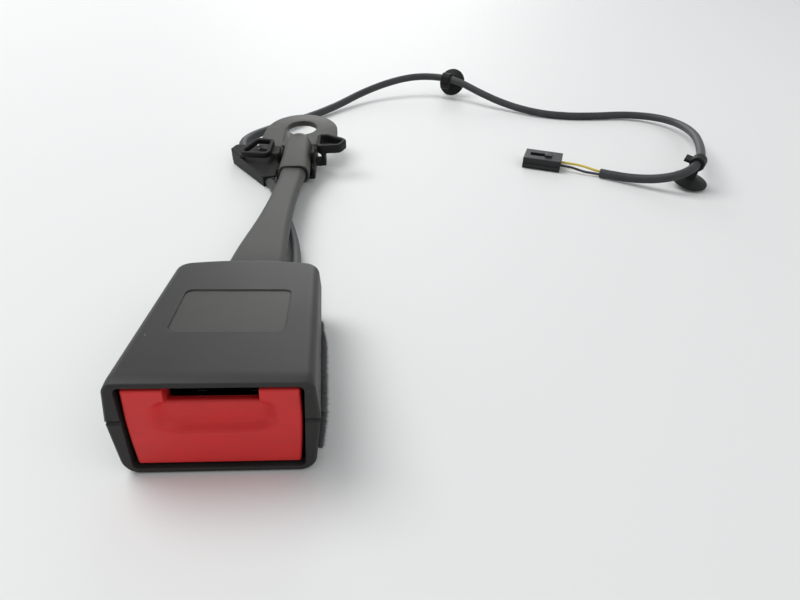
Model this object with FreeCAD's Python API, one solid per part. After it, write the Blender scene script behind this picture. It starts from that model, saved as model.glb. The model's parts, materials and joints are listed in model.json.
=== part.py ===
import FreeCAD, Part
import math
import os

# Seat belt buckle on a wire-rope stalk, lying on a table. Millimetres, +Z up.
# The head's front faces -Y, the stalk and the anchor plate lead away along +Y.
# Every piece is drawn with the head's front bottom edge at Y = 0, and at the end
# the whole object is moved so that its own box stands on the origin.

Vector = FreeCAD.Vector

# Buckle head, outside. Widths are taken at the parting line, where the head is widest.
front_y = -1.0
rear_y = 74.2
rear_bow = 3.5
rear_corner_radius = 6.0
front_width = 55.0
rear_width = 49.8
roof_inset = 1.3
bottom_inset = 1.9
roof_height = 31.8
rear_height = 22.9
parting_front = 18.7
parting_rear = 15.2
top_corner_radius = 3.0
bottom_corner_radius = 5.0
rim_bevel = 0.6
roll_length = 5.0
roll_drop = 0.9
cover_wall = 1.8
parting_gap = 0.12
parting_step = 0.35
parting_band = 0.9
groove_radius = 0.8

# Front opening for the button
opening_depth = 3.0
opening_arm = 3.9
opening_taper = 0.6
opening_sill = 1.9
opening_lip = 0.9
opening_corner = 1.6

# Bare recess for a label, in the roof
label_width = 33.0
label_front = 25.0
label_rear = 52.5
label_depth = 0.35
label_corner = 2.5

# Tongue channel and the steel frame under it, in depths below the deck,
# a plane along the roof and a little below it
roof_slope = math.degrees(math.atan((roof_height - rear_height) / rear_y))
deck_drop = 0.5
deck_height = roof_height - deck_drop
slot_width = 24.0
channel_depth = 4.9
frame_plate = 2.0
frame_width = 33.0
frame_wall = 2.0
frame_front = 13.2
frame_rear = rear_y - 5.2
frame_wall_front = 15.0
frame_wall_rear = rear_y - 7.2
frame_wall_drop = 12.0
rib_inset = 0.6
rib_thick = 1.6

# Press button
button_travel = 5.0
button_gap = 1.1
button_foot_gap = 0.9
button_recess = 0.9
button_body = 6.6
button_top_depth = 2.7
button_skin = 2.0
button_web = 4.3
button_crown = 11.6
button_low_corner = 2.2
button_front_edge = 0.7
button_leg_thick = 1.6
button_leg_gap = 0.6
button_leg_top = 7.4
button_leg_bottom = 14.6
button_leg_end = 44.0

# Dished scoop in the button's face, leading the tongue up into the slot
scoop_half_high = 15.8
scoop_half_low = 13.2
scoop_high = deck_height - channel_depth
scoop_low = scoop_high - 12.6
scoop_depth = 2.3
scoop_bevel = 3.4
scoop_lean = 4.0
scoop_blend = 4.0
scoop_rim = 2.0

# Latch, ear pin, pivot and release angle
pivot_y = 47.0
pivot_depth = 10.6
pivot_pin_radius = 1.5
ear_y = 36.0
ear_pin_radius = 1.3
release_angle = 7.0
latch_width = 14.4
latch_plate_depth = 7.4
latch_thick = 2.0
latch_front = 19.6
latch_rear = 49.6
tooth_front = 21.0
tooth_rear = 26.0
tooth_width = 12.0
tooth_top = 2.7
lug_front = 33.4
latch_spring_half = 4.2
latch_spring_notch = 3.2
pin_clearance = 0.06
cam_clearance = 0.35
window_clearance = 0.9

# Ejector fork and its springs
ejector_travel = 10.0
ejector_front = 19.0
ejector_bar_front = 30.0
ejector_rear = 36.4
ejector_side_gap = 0.9
ejector_arm_width = 5.2
ejector_arm_outer = frame_width / 2.0 - rib_inset - rib_thick - ejector_side_gap
ejector_arm_inner = ejector_arm_outer - ejector_arm_width
ejector_top = 2.3
ejector_bottom = 4.6
spring_x = ejector_arm_outer - 2.8
spring_radius = 2.2
spring_wire = 0.55
spring_rear = ejector_rear + 2.0 * ejector_travel
spring_slot_width = 5.2
tab_width = 4.2
tab_thick = 1.5
tab_bottom = 8.4

# Button springs
button_spring_x = 8.0
button_spring_z = 8.2
button_spring_radius = 2.5
button_spring_wire = 0.5
button_spring_rear = 22.0

# Springs are drawn with this many runs a turn and sides to their wire, cords and rope with these sides
tube_sides = 10
coil_steps = 8
coil_sides = 5

# Stalk: rope loop, bush, rivet, sleeve
rope_diameter = 4.6
loop_y = rear_y - 12.7
loop_radius = 7.3
rope_depth = 10.6
bush_radius = 4.6
bush_bore = 3.1
rivet_radius = 3.0
rivet_head_radius = 5.2
rivet_head_thick = 1.2
rivet_reach = 8.4
rope_pitch_at_ferrule = 5.1
sleeve_wall = 1.1
sleeve_gap = 0.5
stalk_head_y = rear_y - 5.2
sleeve_seat = 2.5
socket_gap = 0.7

# Anchor plate with its rolled ferrule, in the anchor's own frame:
# u to the right, v towards the far end, w up, origin at the ferrule's mouth
anchor_x = 6.8
anchor_y = 187.8
anchor_z = 8.7
anchor_yaw = -1.6
anchor_roll = -2.6
anchor_pitch = 7.6
ferrule_width = 15.6
ferrule_height = 10.2
ferrule_corner = 4.2
ferrule_length = 33.0
ferrule_nose = 10.3
ferrule_socket = 29.0
plate_radius = 20.1
plate_centre = 52.1
plate_front = 37.0
plate_shoulder = 5.0
plate_thick = 3.0
plate_top = -1.2
bolt_hole_radius = 8.5
bolt_hole_v = 54.7

# Cable holder
holder_floor_top = -5.4
holder_floor_thick = 2.2
holder_wall = 1.8
holder_gap = 0.35
holder_front = 8.0
holder_rear = 34.0
ear_wall = 2.1
skirt_top = -2.2
skirt_thick = 1.0
curtain_wall = 1.4
curtain_low = -16.0
left_ear_low = -0.3
left_ear_top = 2.7
right_ear_low = -0.6
right_ear_top = 4.2

# Lead, wires, connector and clips
lead_diameter = 4.8
wire_diameter = 1.36
connector_length = 21.0
connector_depth = 16.0
connector_height = 6.2
connector_x = 146.0
connector_y = 227.6
connector_yaw = -20.5
cavity_places = (1.2, -4.0)
cavity_radius = 1.3
clip_gap = 0.35
clip_band = 1.2
clip_band_width = 6.0
clip_disc_drop = 10.5
clip_disc_radius = 9.5
clip_disc_thick = 1.1
clip_disc_cup = 2.6
clip_neck_radius = 2.2
clip_stud_radius = 3.2
clip_stud_length = 4.2

# Sensor switch under the frame
sensor_gap = 0.6
sensor_depth = channel_depth + frame_plate + rivet_reach + rivet_head_thick + sensor_gap
sensor_thick = 4.2
sensor_half = 10.0
sensor_length = 20.0
sensor_rear = rear_y - 8.2
sensor_front = sensor_rear - sensor_length

# Felt pad on the head's right side
felt_thick = 1.6
felt_seat = 0.1
felt_front = 3.0
felt_rear = rear_y - 12.2
felt_low = 4.0
felt_high_gap = 1.0

# Routes, in the head's frame. The first is the stretch that the object holds.
held_route = [
    (14.6, 70.0, 8.6), (14.7, 84.0, 8.4), (15.0, 100.0, 7.3), (14.0, 117.0, 5.6),
    (11.2, 133.0, 4.1), (7.2, 148.0, 3.2), (3.2, 163.0, 2.9), (-0.6, 178.4, 2.8),
    (-5.6, 192.6, 2.9), (-11.8, 203.6, 3.8), (-17.4, 213.2, 4.8), (-21.4, 222.8, 5.8),
]
free_route = [
    (-21.4, 222.8, 5.8), (-24.4, 230.0, 6.55), (-25.9, 240.2, 7.0), (-24.8, 251.6, 6.6),
    (-20.2, 263.6, 5.7), (-12.0, 276.0, 4.5), (-1.0, 288.6, 3.4), (12.4, 304.4, 2.9),
    (27.6, 324.0, 3.6), (43.0, 343.5, 6.4), (61.0, 357.4, 10.0), (80.0, 365.6, 13.0),
    (98.0, 363.6, 14.2), (113.6, 354.0, 13.8), (127.6, 341.6, 9.2), (145.0, 330.6, 4.4),
    (164.0, 318.6, 2.6), (184.0, 313.0, 2.5), (206.0, 314.8, 2.5), (224.0, 317.4, 2.9),
    (237.4, 313.3, 3.8), (246.8, 304.6, 5.0), (251.7, 291.2, 6.4), (251.4, 275.0, 8.2),
    (247.8, 256.4, 10.2), (240.6, 236.0, 12.4), (231.6, 214.8, 14.4), (225.2, 202.0, 15.2),
    (218.8, 193.2, 14.0), (210.6, 189.8, 10.6), (200.8, 193.4, 6.6), (191.2, 199.8, 3.9),
    (182.8, 205.8, 2.8), (174.6, 211.0, 2.6),
]
yellow_route = [
    (175.0, 211.75, 3.1), (172.3, 213.4, 3.1), (169.4, 216.8, 3.3), (165.6, 220.2, 3.3),
    (161.41, 223.12, 3.1), (154.85, 225.57, 3.1),
]
black_route = [
    (174.15, 210.34, 2.0), (170.8, 212.5, 1.8), (166.8, 214.0, 1.8), (163.2, 216.0, 2.4),
    (159.59, 218.25, 3.0), (153.03, 220.7, 3.1),
]


def box(x_low, x_high, y_low, y_high, z_low, z_high):
    return Part.makeBox(x_high - x_low, y_high - y_low, z_high - z_low, Vector(x_low, y_low, z_low))


def rod_x(x_low, x_high, y, z, radius):
    return Part.makeCylinder(radius, x_high - x_low, Vector(x_low, y, z), Vector(1, 0, 0))


def prism(points, z_low, z_high):
    corners = [Vector(x, y, z_low) for x, y in points]
    wire = Part.makePolygon(corners + corners[:1])
    return Part.Face(wire).extrude(Vector(0, 0, z_high - z_low))


def upright_edges(shape):
    """Edges along Z."""
    found = []
    for edge in shape.Edges:
        way = edge.Vertexes[-1].Point - edge.Vertexes[0].Point
        if way.Length > 1e-6 and abs(way.z) > 0.99 * way.Length:
            found.append(edge)
    return found


def rounded_prism(points, z_low, z_high, radius):
    solid = prism(points, z_low, z_high)
    return solid.makeFillet(radius, upright_edges(solid))


def along_roof(shape, height):
    """Tilts a piece drawn level to the roof's slope, with its zero at a height over the front."""
    moved = shape.copy()
    moved.rotate(Vector(0, 0, 0), Vector(1, 0, 0), -roof_slope)
    moved.translate(Vector(0, 0, height))
    return moved


def under_roof(shape):
    """Moves a piece drawn with its depths below the deck to its place in the head."""
    return along_roof(shape, deck_height)


def under_roof_point(x, y, depth):
    turn = FreeCAD.Rotation(Vector(1, 0, 0), -roof_slope)
    return turn.multVec(Vector(x, y, -depth)) + Vector(0, 0, deck_height)


def half_space(point, outward):
    """A large block on the outer side of a plane."""
    block = Part.makeBox(300, 300, 60, Vector(-150, -150, 0))
    block.Placement = FreeCAD.Placement(point, FreeCAD.Rotation(Vector(0, 0, 1), outward))
    return block


def anchor_rotation():
    yaw = FreeCAD.Rotation(Vector(0, 0, 1), anchor_yaw)
    roll = FreeCAD.Rotation(Vector(0, 1, 0), anchor_roll)
    pitch = FreeCAD.Rotation(Vector(1, 0, 0), anchor_pitch)
    return yaw.multiply(roll).multiply(pitch)


def at_anchor(shape):
    moved = shape.copy()
    place = FreeCAD.Placement(Vector(anchor_x, anchor_y, anchor_z), anchor_rotation())
    moved.Placement = place.multiply(moved.Placement)
    return moved


def at_anchor_point(u, v, w):
    return anchor_rotation().multVec(Vector(u, v, w)) + Vector(anchor_x, anchor_y, anchor_z)


# Cord tubes

def corner_radius_of(before, corner, after):
    """Largest arc that the two runs allow at a route's corner."""
    inward = (corner - before).normalize()
    outward = (after - corner).normalize()
    turn = math.acos(max(-1.0, min(1.0, inward.dot(outward))))
    shorter = min((corner - before).Length, (after - corner).Length)
    return 0.45 * shorter / math.tan(turn / 2.0)


def rounded_wire(points, radii=None):
    """Straight runs joined by tangent arcs."""
    corners = [Vector(*point) for point in points]
    edges = []
    reached = corners[0]
    for index in range(1, len(corners) - 1):
        before, corner, after = corners[index - 1], corners[index], corners[index + 1]
        inward = (corner - before).normalize()
        outward = (after - corner).normalize()
        turn = math.acos(max(-1.0, min(1.0, inward.dot(outward))))
        radius = radii[index - 1] if radii else corner_radius_of(before, corner, after)
        reach = radius * math.tan(turn / 2.0)
        start = corner - inward * reach
        end = corner + outward * reach
        bisector = (outward - inward).normalize()
        middle = corner + bisector * (radius / math.cos(turn / 2.0) - radius)
        if (start - reached).Length > 1e-4:
            edges.append(Part.LineSegment(reached, start).toShape())
        edges.append(Part.Arc(start, middle, end).toShape())
        reached = end
    edges.append(Part.LineSegment(reached, corners[-1]).toShape())
    return Part.Wire(edges)


def tube(wire, radius):
    """A tube with flat sides, whose corners lie on the given radius."""
    first = wire.Edges[0]
    start = first.valueAt(first.FirstParameter)
    way = first.tangentAt(first.FirstParameter)
    across = way.cross(Vector(0, 0, 1)).normalize() * radius
    up = across.cross(way).normalize() * radius
    corners = []
    for index in range(tube_sides):
        angle = 2.0 * math.pi * (index + 0.5) / tube_sides
        corners.append(start + across * math.cos(angle) + up * math.sin(angle))
    profile = Part.makePolygon(corners + corners[:1])
    return wire.makePipeShell([profile], True, False)


def cord(points, diameter, name):
    wire = rounded_wire(points)
    corners = [Vector(*point) for point in points]
    radii = [corner_radius_of(*corners[i - 1:i + 2]) for i in range(1, len(corners) - 1)]
    solid = tube(wire, diameter / 2.0)
    section = tube_sides / 2.0 * math.sin(2.0 * math.pi / tube_sides) * (diameter / 2.0) ** 2
    expected = section * wire.Length
    print(name, "length", round(wire.Length, 1), "radii", [round(r, 1) for r in radii])
    print(name, "volume over section times length", round(solid.Volume / expected, 4))
    return solid


def coil(radius, wire_size, length, turns, start, direction):
    """A compression spring with its axis from start along direction, its wire in short straight runs."""
    middle = radius - wire_size / 2.0
    count = turns * coil_steps
    rise = (length - wire_size) / count
    points = []
    for index in range(count + 1):
        angle = 2.0 * math.pi * index / coil_steps
        points.append(Vector(middle * math.cos(angle), middle * math.sin(angle), wire_size / 2.0 + rise * index))
    way = (points[1] - points[0]).normalize()
    up = way.cross(Vector(1, 0, 0)).normalize()
    out = up.cross(way).normalize()
    section = []
    for index in range(coil_sides):
        angle = 2.0 * math.pi * index / coil_sides
        section.append(points[0] + (out * math.cos(angle) + up * math.sin(angle)) * (wire_size / 2.0))
    profile = Part.makePolygon(section + section[:1])
    mitred = 1
    solid = Part.makePolygon(points).makePipeShell([profile], True, False, mitred)
    turn = FreeCAD.Rotation(Vector(0, 0, 1), direction)
    solid.Placement = FreeCAD.Placement(start, turn).multiply(solid.Placement)
    return solid


# Head covers

def side_planes(grow):
    """The upper and lower side planes on the right, each as a point and its outward normal."""
    front = Vector(front_width / 2.0, front_y, parting_front)
    rear = Vector(rear_width / 2.0, rear_y, parting_rear)
    planes = []
    for inset, height in ((roof_inset, roof_height), (bottom_inset, 0.0)):
        third = Vector(front_width / 2.0 - inset, front_y, height)
        normal = (rear - front).cross(third - front).normalize()
        if normal.x < 0:
            normal = normal * -1
        planes.append((front + normal * grow, normal))
    return planes


def head_plan(front, grow):
    """A tall slab, wider than the head, with the head's bowed rear wall."""
    half = rear_width / 2.0 + 12
    corner_y = rear_y + grow - rear_bow * 1.2
    middle = Vector(0, rear_y + rear_bow + grow, -5)
    corners = [Vector(-half, front, -5), Vector(half, front, -5), Vector(half, corner_y, -5),
               Vector(-half, corner_y, -5)]
    edges = [Part.LineSegment(corners[0], corners[1]).toShape(),
             Part.LineSegment(corners[1], corners[2]).toShape(),
             Part.Arc(corners[2], middle, corners[3]).toShape(),
             Part.LineSegment(corners[3], corners[0]).toShape()]
    return Part.Face(Part.Wire(edges)).extrude(Vector(0, 0, roof_height + 10))


def roof_roll():
    """What is cut away where the roof bends down to the front edge."""
    radius = (roll_length ** 2 + roll_drop ** 2) / (2.0 * roll_drop)
    turn = math.asin(roll_length / radius)
    start = front_y + roll_length

    def on_roll(angle):
        return Vector(-50, start - radius * math.sin(angle), radius * (math.cos(angle) - 1.0))
    end = on_roll(turn)
    beyond = end + Vector(0, -math.cos(turn), -math.sin(turn)) * 4.0
    edges = [Part.Arc(on_roll(0.0), on_roll(turn / 2.0), end).toShape(),
             Part.LineSegment(end, beyond).toShape(),
             Part.LineSegment(beyond, Vector(-50, beyond.y, 8)).toShape(),
             Part.LineSegment(Vector(-50, beyond.y, 8), Vector(-50, start, 8)).toShape(),
             Part.LineSegment(Vector(-50, start, 8), on_roll(0.0)).toShape()]
    return along_roof(Part.Face(Part.Wire(edges)).extrude(Vector(100, 0, 0)), roof_height)


def long_edges(shape, low_z, high_z):
    return [edge for edge in shape.Edges
            if edge.BoundBox.YLength > 40 and edge.BoundBox.ZMin > low_z and edge.BoundBox.ZMax < high_z]


def head_block(front, grow):
    """The head as one sharp block, grown outwards by a given amount."""
    up = Vector(0, math.sin(math.radians(roof_slope)), math.cos(math.radians(roof_slope)))
    cuts = [(Vector(0, 0, roof_height) + up * grow, up), (Vector(0, 0, -grow), Vector(0, 0, -1))]
    for point, normal in side_planes(grow):
        cuts.append((point, normal))
        cuts.append((Vector(-point.x, point.y, point.z), Vector(-normal.x, normal.y, normal.z)))
    block = head_plan(front, grow)
    for point, normal in cuts:
        block = block.cut(half_space(point, normal))
    return block


def rear_corners(block):
    return [edge for edge in block.Edges
            if edge.BoundBox.YMin > rear_y - 5 and edge.BoundBox.ZLength > 3 and edge.BoundBox.YLength < 2]


def rounded_head(front, grow, rolled=False):
    """The head's block with its side and rear corners rounded, and its roof rolled down at the front."""
    block = head_block(front, grow)
    block = block.makeFillet(rear_corner_radius + grow, rear_corners(block))
    block = block.makeFillet(bottom_corner_radius + grow, long_edges(block, -grow - 1, 1 - grow))
    if rolled:
        block = block.cut(roof_roll())
    return block.makeFillet(top_corner_radius + grow, long_edges(block, parting_front, 2 * roof_height))


def head_cavity():
    """The room inside the covers, with bevelled corners that leave an even wall under the round ones."""
    block = head_block(front_y + opening_depth, -cover_wall)
    even = 2.0 - math.sqrt(2.0)
    block = block.makeChamfer(even * (rear_corner_radius - cover_wall), rear_corners(block))
    floor_edges = [edge for edge in block.Edges
                   if edge.BoundBox.ZMax < cover_wall + 0.01 and edge.BoundBox.YMax > front_y + opening_depth + 1]
    return block.makeChamfer(even * (bottom_corner_radius - cover_wall), floor_edges)


def above_parting(raise_by):
    """Everything above the sloping plane where the two covers meet."""
    near, far = front_y - 5, rear_y + 15
    slope = (parting_rear - parting_front) / (rear_y - front_y)
    side = [Vector(-40, near, parting_front + (near - front_y) * slope + raise_by),
            Vector(-40, far, parting_front + (far - front_y) * slope + raise_by),
            Vector(-40, far, 60), Vector(-40, near, 60)]
    return Part.Face(Part.makePolygon(side + side[:1])).extrude(Vector(80, 0, 0))


def opening_half():
    return front_width / 2.0 - opening_arm


def front_opening():
    """The window that the button fills, through the front frame."""
    half_top = opening_half()
    half_low = half_top - opening_taper
    high = roof_height - roll_drop - opening_lip + 0.1
    profile = [(-half_low, opening_sill), (half_low, opening_sill), (half_top, high), (-half_top, high)]
    corners = [Vector(x, front_y - 1, z) for x, z in profile]
    solid = Part.Face(Part.makePolygon(corners + corners[:1])).extrude(Vector(0, opening_depth + 1.5, 0))
    along = [edge for edge in solid.Edges if edge.BoundBox.YLength > opening_depth]
    return solid.makeFillet(opening_corner, along)


def head_shell():
    outer = rounded_head(front_y, 0, rolled=True)
    rim = [edge for edge in outer.Edges if edge.BoundBox.YMax < front_y + 1e-3]
    outer = outer.makeChamfer(rim_bevel, rim)
    return outer.cut(head_cavity()).cut(front_opening())


def parting_groove():
    """Rounded groove across the front arms where the covers meet."""
    return rod_x(-40, 40, front_y - 0.2, parting_front, groove_radius)


def sleeve_exit():
    """Cut-out in the rear walls for the stalk's sleeve."""
    sleeve = box(-12.4, 12.4, 62, 90, -rope_depth - 4.3, -rope_depth + 4.3)
    return under_roof(sleeve.makeFillet(3.0, [edge for edge in sleeve.Edges if edge.BoundBox.YLength > 20]))


def lead_exit():
    """Round hole in the lower cover's rear wall for the lead."""
    mouth = Vector(*held_route[0]) + Vector(0, -8, 0.2)
    return Part.makeCylinder(lead_diameter / 2.0 + 0.5, 30, mouth, Vector(0, 1, 0))


def upper_cover(shell):
    cover = shell.common(above_parting(0.0)).cut(parting_groove())
    label = rounded_prism([(-label_width / 2, label_front), (label_width / 2, label_front),
                           (label_width / 2, label_rear), (-label_width / 2, label_rear)],
                          -label_depth, 2, label_corner)
    cover = cover.cut(along_roof(label, roof_height))
    cover = cover.cut(sleeve_exit())
    # ribs that press the steel frame down onto the lower cover's posts
    rib_half = frame_width / 2.0 - rib_inset
    for side in (-1, 1):
        low_x = min(side * rib_half, side * (rib_half - rib_thick))
        rib = under_roof(box(low_x, low_x + rib_thick, frame_front + 2, frame_rear - 8,
                             -channel_depth + 0.05, deck_drop - cover_wall + 0.2))
        cover = cover.fuse(rib)
    return cover.removeSplitter()


def lower_cover(shell):
    cover = shell.cut(above_parting(-parting_gap)).cut(parting_groove())
    # a shallow step round the outside makes the parting line
    outer_skin = head_block(front_y - 1, 2.0).cut(rounded_head(front_y - 2, -parting_step))
    cover = cover.cut(outer_skin.common(above_parting(-parting_band)))
    cover = cover.cut(sleeve_exit()).cut(lead_exit())
    post_half = frame_width / 2.0 - frame_wall
    posts = []
    wall_bottom = -(channel_depth + frame_plate + frame_wall_drop) - 0.1
    # four posts that the frame's side walls stand on
    for side in (-1, 1):
        for y in (24.0, 56.0):
            low_x = min(side * post_half, side * (post_half + frame_wall))
            post = under_roof(box(low_x, low_x + frame_wall, y, y + 8, -40, wall_bottom))
            posts.append(post.common(box(-40, 40, -5, 90, cover_wall - 0.3, 40)))
    # a cross wall that the button springs push against
    posts.append(box(-12, 12, button_spring_rear, button_spring_rear + 1.8, cover_wall - 0.3, 11.4))
    for side in (-1, 1):
        posts.append(Part.makeCylinder(1.4, 2.6, Vector(side * button_spring_x, button_spring_rear + 0.1,
                                                        button_spring_z), Vector(0, -1, 0)))
    for post in posts:
        cover = cover.fuse(post)
    return cover.removeSplitter()


def felt_pad():
    outer = rounded_head(felt_front, felt_thick)
    inner = rounded_head(felt_front - 1, felt_seat)
    half = box(5, 40, felt_front - 1, felt_rear, felt_low, 40)
    pad = outer.cut(inner).common(half)
    return pad.cut(above_parting(-felt_high_gap))


# Mechanism, drawn with z as minus the depth below the roof

def buckle_frame():
    half = frame_width / 2.0
    top = -channel_depth
    low = top - frame_plate
    plate = box(-half, half, frame_front, frame_rear, low, top)
    plate = plate.makeFillet(3.0, upright_edges(plate))
    frame = plate
    for side in (-1, 1):
        x_low = min(side * half, side * (half - frame_wall))
        wall = box(x_low, x_low + frame_wall, frame_wall_front, frame_wall_rear, low - frame_wall_drop, low + 0.5)
        wall_corners = [edge for edge in wall.Edges
                        if edge.BoundBox.XLength > frame_wall - 0.1 and edge.BoundBox.ZMax < low - 1]
        frame = frame.fuse(wall.makeFillet(4.0, wall_corners))
    # window for the latch tooth
    window = box(-tooth_width / 2 - 1, tooth_width / 2 + 1, tooth_front - 1.3, tooth_rear + 1.2, low - 1, top + 1)
    frame = frame.cut(window)
    # slots for the ejector springs and tabs
    tab_front = ejector_rear - tab_thick
    for side in (-1, 1):
        centre = side * spring_x
        slot = box(centre - spring_slot_width / 2, centre + spring_slot_width / 2,
                   tab_front - 1.9, spring_rear + 0.3, low - 1, top + 1)
        frame = frame.cut(slot)
    # holes for the pivot pin and windows for the ear pin
    frame = frame.cut(rod_x(-30, 30, pivot_y, -pivot_depth, pivot_pin_radius + pin_clearance))
    drop = (pivot_y - ear_y) * math.sin(math.radians(release_angle))
    ear_window = box(-30, 30, ear_y - ear_pin_radius - window_clearance, ear_y + ear_pin_radius + window_clearance,
                     -pivot_depth - drop - ear_pin_radius - window_clearance,
                     -pivot_depth + ear_pin_radius + window_clearance)
    window_corners = [edge for edge in ear_window.Edges if edge.BoundBox.XLength > 50]
    frame = frame.cut(ear_window.makeFillet(1.0, window_corners))
    frame = frame.cut(Part.makeCylinder(rivet_radius + 0.1, 10, Vector(0, loop_y, low - 4), Vector(0, 0, 1)))
    return under_roof(frame.removeSplitter())


def latch_plate():
    half = latch_width / 2.0
    top = -latch_plate_depth
    low = top - latch_thick
    plate = box(-half, half, latch_front, latch_rear, low, top)
    plate = plate.makeFillet(1.5, upright_edges(plate))
    # the tooth's rear face is square to hold the tongue, its front face slopes to be pushed down
    side_view = [Vector(-tooth_width / 2, tooth_front, top - 0.5), Vector(-tooth_width / 2, tooth_rear, top - 0.5),
                 Vector(-tooth_width / 2, tooth_rear, -tooth_top), Vector(-tooth_width / 2, tooth_rear - 2.2, -tooth_top),
                 Vector(-tooth_width / 2, tooth_front, -channel_depth - 0.2)]
    tooth = Part.Face(Part.makePolygon(side_view + side_view[:1])).extrude(Vector(tooth_width, 0, 0))
    latch = plate.fuse(tooth)
    lug_low = -pivot_depth - 3.0
    for side in (-1, 1):
        x_low = min(side * half, side * (half - latch_thick))
        lug = box(x_low, x_low + latch_thick, lug_front, latch_rear, lug_low, low + 0.5)
        lug_corners = [edge for edge in lug.Edges
                       if edge.BoundBox.XLength > latch_thick - 0.1 and edge.BoundBox.ZMax < low - 1]
        latch = latch.fuse(lug.makeFillet(1.8, lug_corners))
    latch = latch.cut(rod_x(-20, 20, pivot_y, -pivot_depth, pivot_pin_radius + pin_clearance))
    latch = latch.cut(rod_x(-20, 20, ear_y, -pivot_depth, ear_pin_radius))
    # notch for the spring on the pivot pin
    latch = latch.cut(box(-latch_spring_half, latch_spring_half, pivot_y - latch_spring_notch, latch_rear + 1,
                          low - 1, top + 1))
    return under_roof(latch.removeSplitter())


def ear_pin():
    reach = frame_width / 2.0 + button_leg_gap + button_leg_thick + 0.2
    return under_roof(rod_x(-reach, reach, ear_y, -pivot_depth, ear_pin_radius))


def pivot_pin():
    reach = frame_width / 2.0 + 0.4
    return under_roof(rod_x(-reach, reach, pivot_y, -pivot_depth, pivot_pin_radius))


def latch_spring():
    half = latch_spring_half - 0.4
    spring = coil(pivot_pin_radius + 0.9, 0.6, 2 * half, 8, Vector(-half, pivot_y, -pivot_depth), Vector(1, 0, 0))
    return under_roof(spring)


def ejector():
    bar = box(-ejector_arm_outer, ejector_arm_outer, ejector_bar_front, ejector_rear, -ejector_bottom, -ejector_top)
    fork = bar
    for side in (-1, 1):
        x_low = min(side * ejector_arm_inner, side * ejector_arm_outer)
        arm = box(x_low, x_low + ejector_arm_outer - ejector_arm_inner, ejector_front, ejector_bar_front + 1,
                  -ejector_bottom, -ejector_top)
        fork = fork.fuse(arm)
        tab = box(side * spring_x - tab_width / 2, side * spring_x + tab_width / 2, ejector_rear - tab_thick,
                  ejector_rear, -tab_bottom, -ejector_bottom + 0.2)
        fork = fork.fuse(tab)
    fork = fork.removeSplitter()
    inner_corners = [edge for edge in upright_edges(fork)
                     if abs(edge.BoundBox.YMin - ejector_bar_front) < 0.01 and edge.BoundBox.ZLength > 2]
    return under_roof(fork.makeFillet(1.6, inner_corners))


def ejector_springs():
    length = spring_rear - ejector_rear
    springs = [coil(spring_radius, spring_wire, length - 0.1, 9,
                    Vector(side * spring_x, ejector_rear + 0.05, -channel_depth - frame_plate / 2 - 0.2),
                    Vector(0, 1, 0)) for side in (-1, 1)]
    return under_roof(Part.makeCompound(springs))


def sensor_magnet():
    front = ejector_rear - tab_thick
    magnet = box(spring_x - 1.5, spring_x + 1.5, front - 1.4, front, -tab_bottom + 0.4, -channel_depth - 0.3)
    return under_roof(magnet)


# Press button

def scoop_tool(face_y):
    """A dish with sloping walls, a ledge below and a floor that leans back towards the slot."""
    margin = 4.0
    reach = scoop_half_high + margin
    tool = box(-reach, reach, face_y - margin, face_y + scoop_depth + margin, scoop_low - margin, scoop_high + 8)
    lean = math.radians(scoop_lean)
    floor_point = Vector(0, face_y + scoop_depth, scoop_low + scoop_bevel)
    tool = tool.cut(half_space(floor_point, Vector(0, math.cos(lean), -math.sin(lean))))
    tool = tool.cut(half_space(Vector(0, face_y, scoop_low), Vector(0, scoop_bevel, -scoop_depth).normalize()))
    for side in (-1, 1):
        low_point = Vector(side * scoop_half_low, face_y, scoop_low)
        high_point = Vector(side * scoop_half_high, face_y, scoop_high)
        inner_point = Vector(side * (scoop_half_low - scoop_bevel), face_y + scoop_depth, scoop_low)
        normal = (high_point - low_point).cross(inner_point - low_point).normalize()
        if normal.x * side < 0:
            normal = normal * -1
        tool = tool.cut(half_space(low_point, normal))
    hollow_edges = [edge for edge in tool.Edges
                    if edge.BoundBox.YMax > face_y + 0.5 and edge.BoundBox.ZMin < scoop_high + 1]
    return tool.makeFillet(scoop_blend, hollow_edges)


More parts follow.
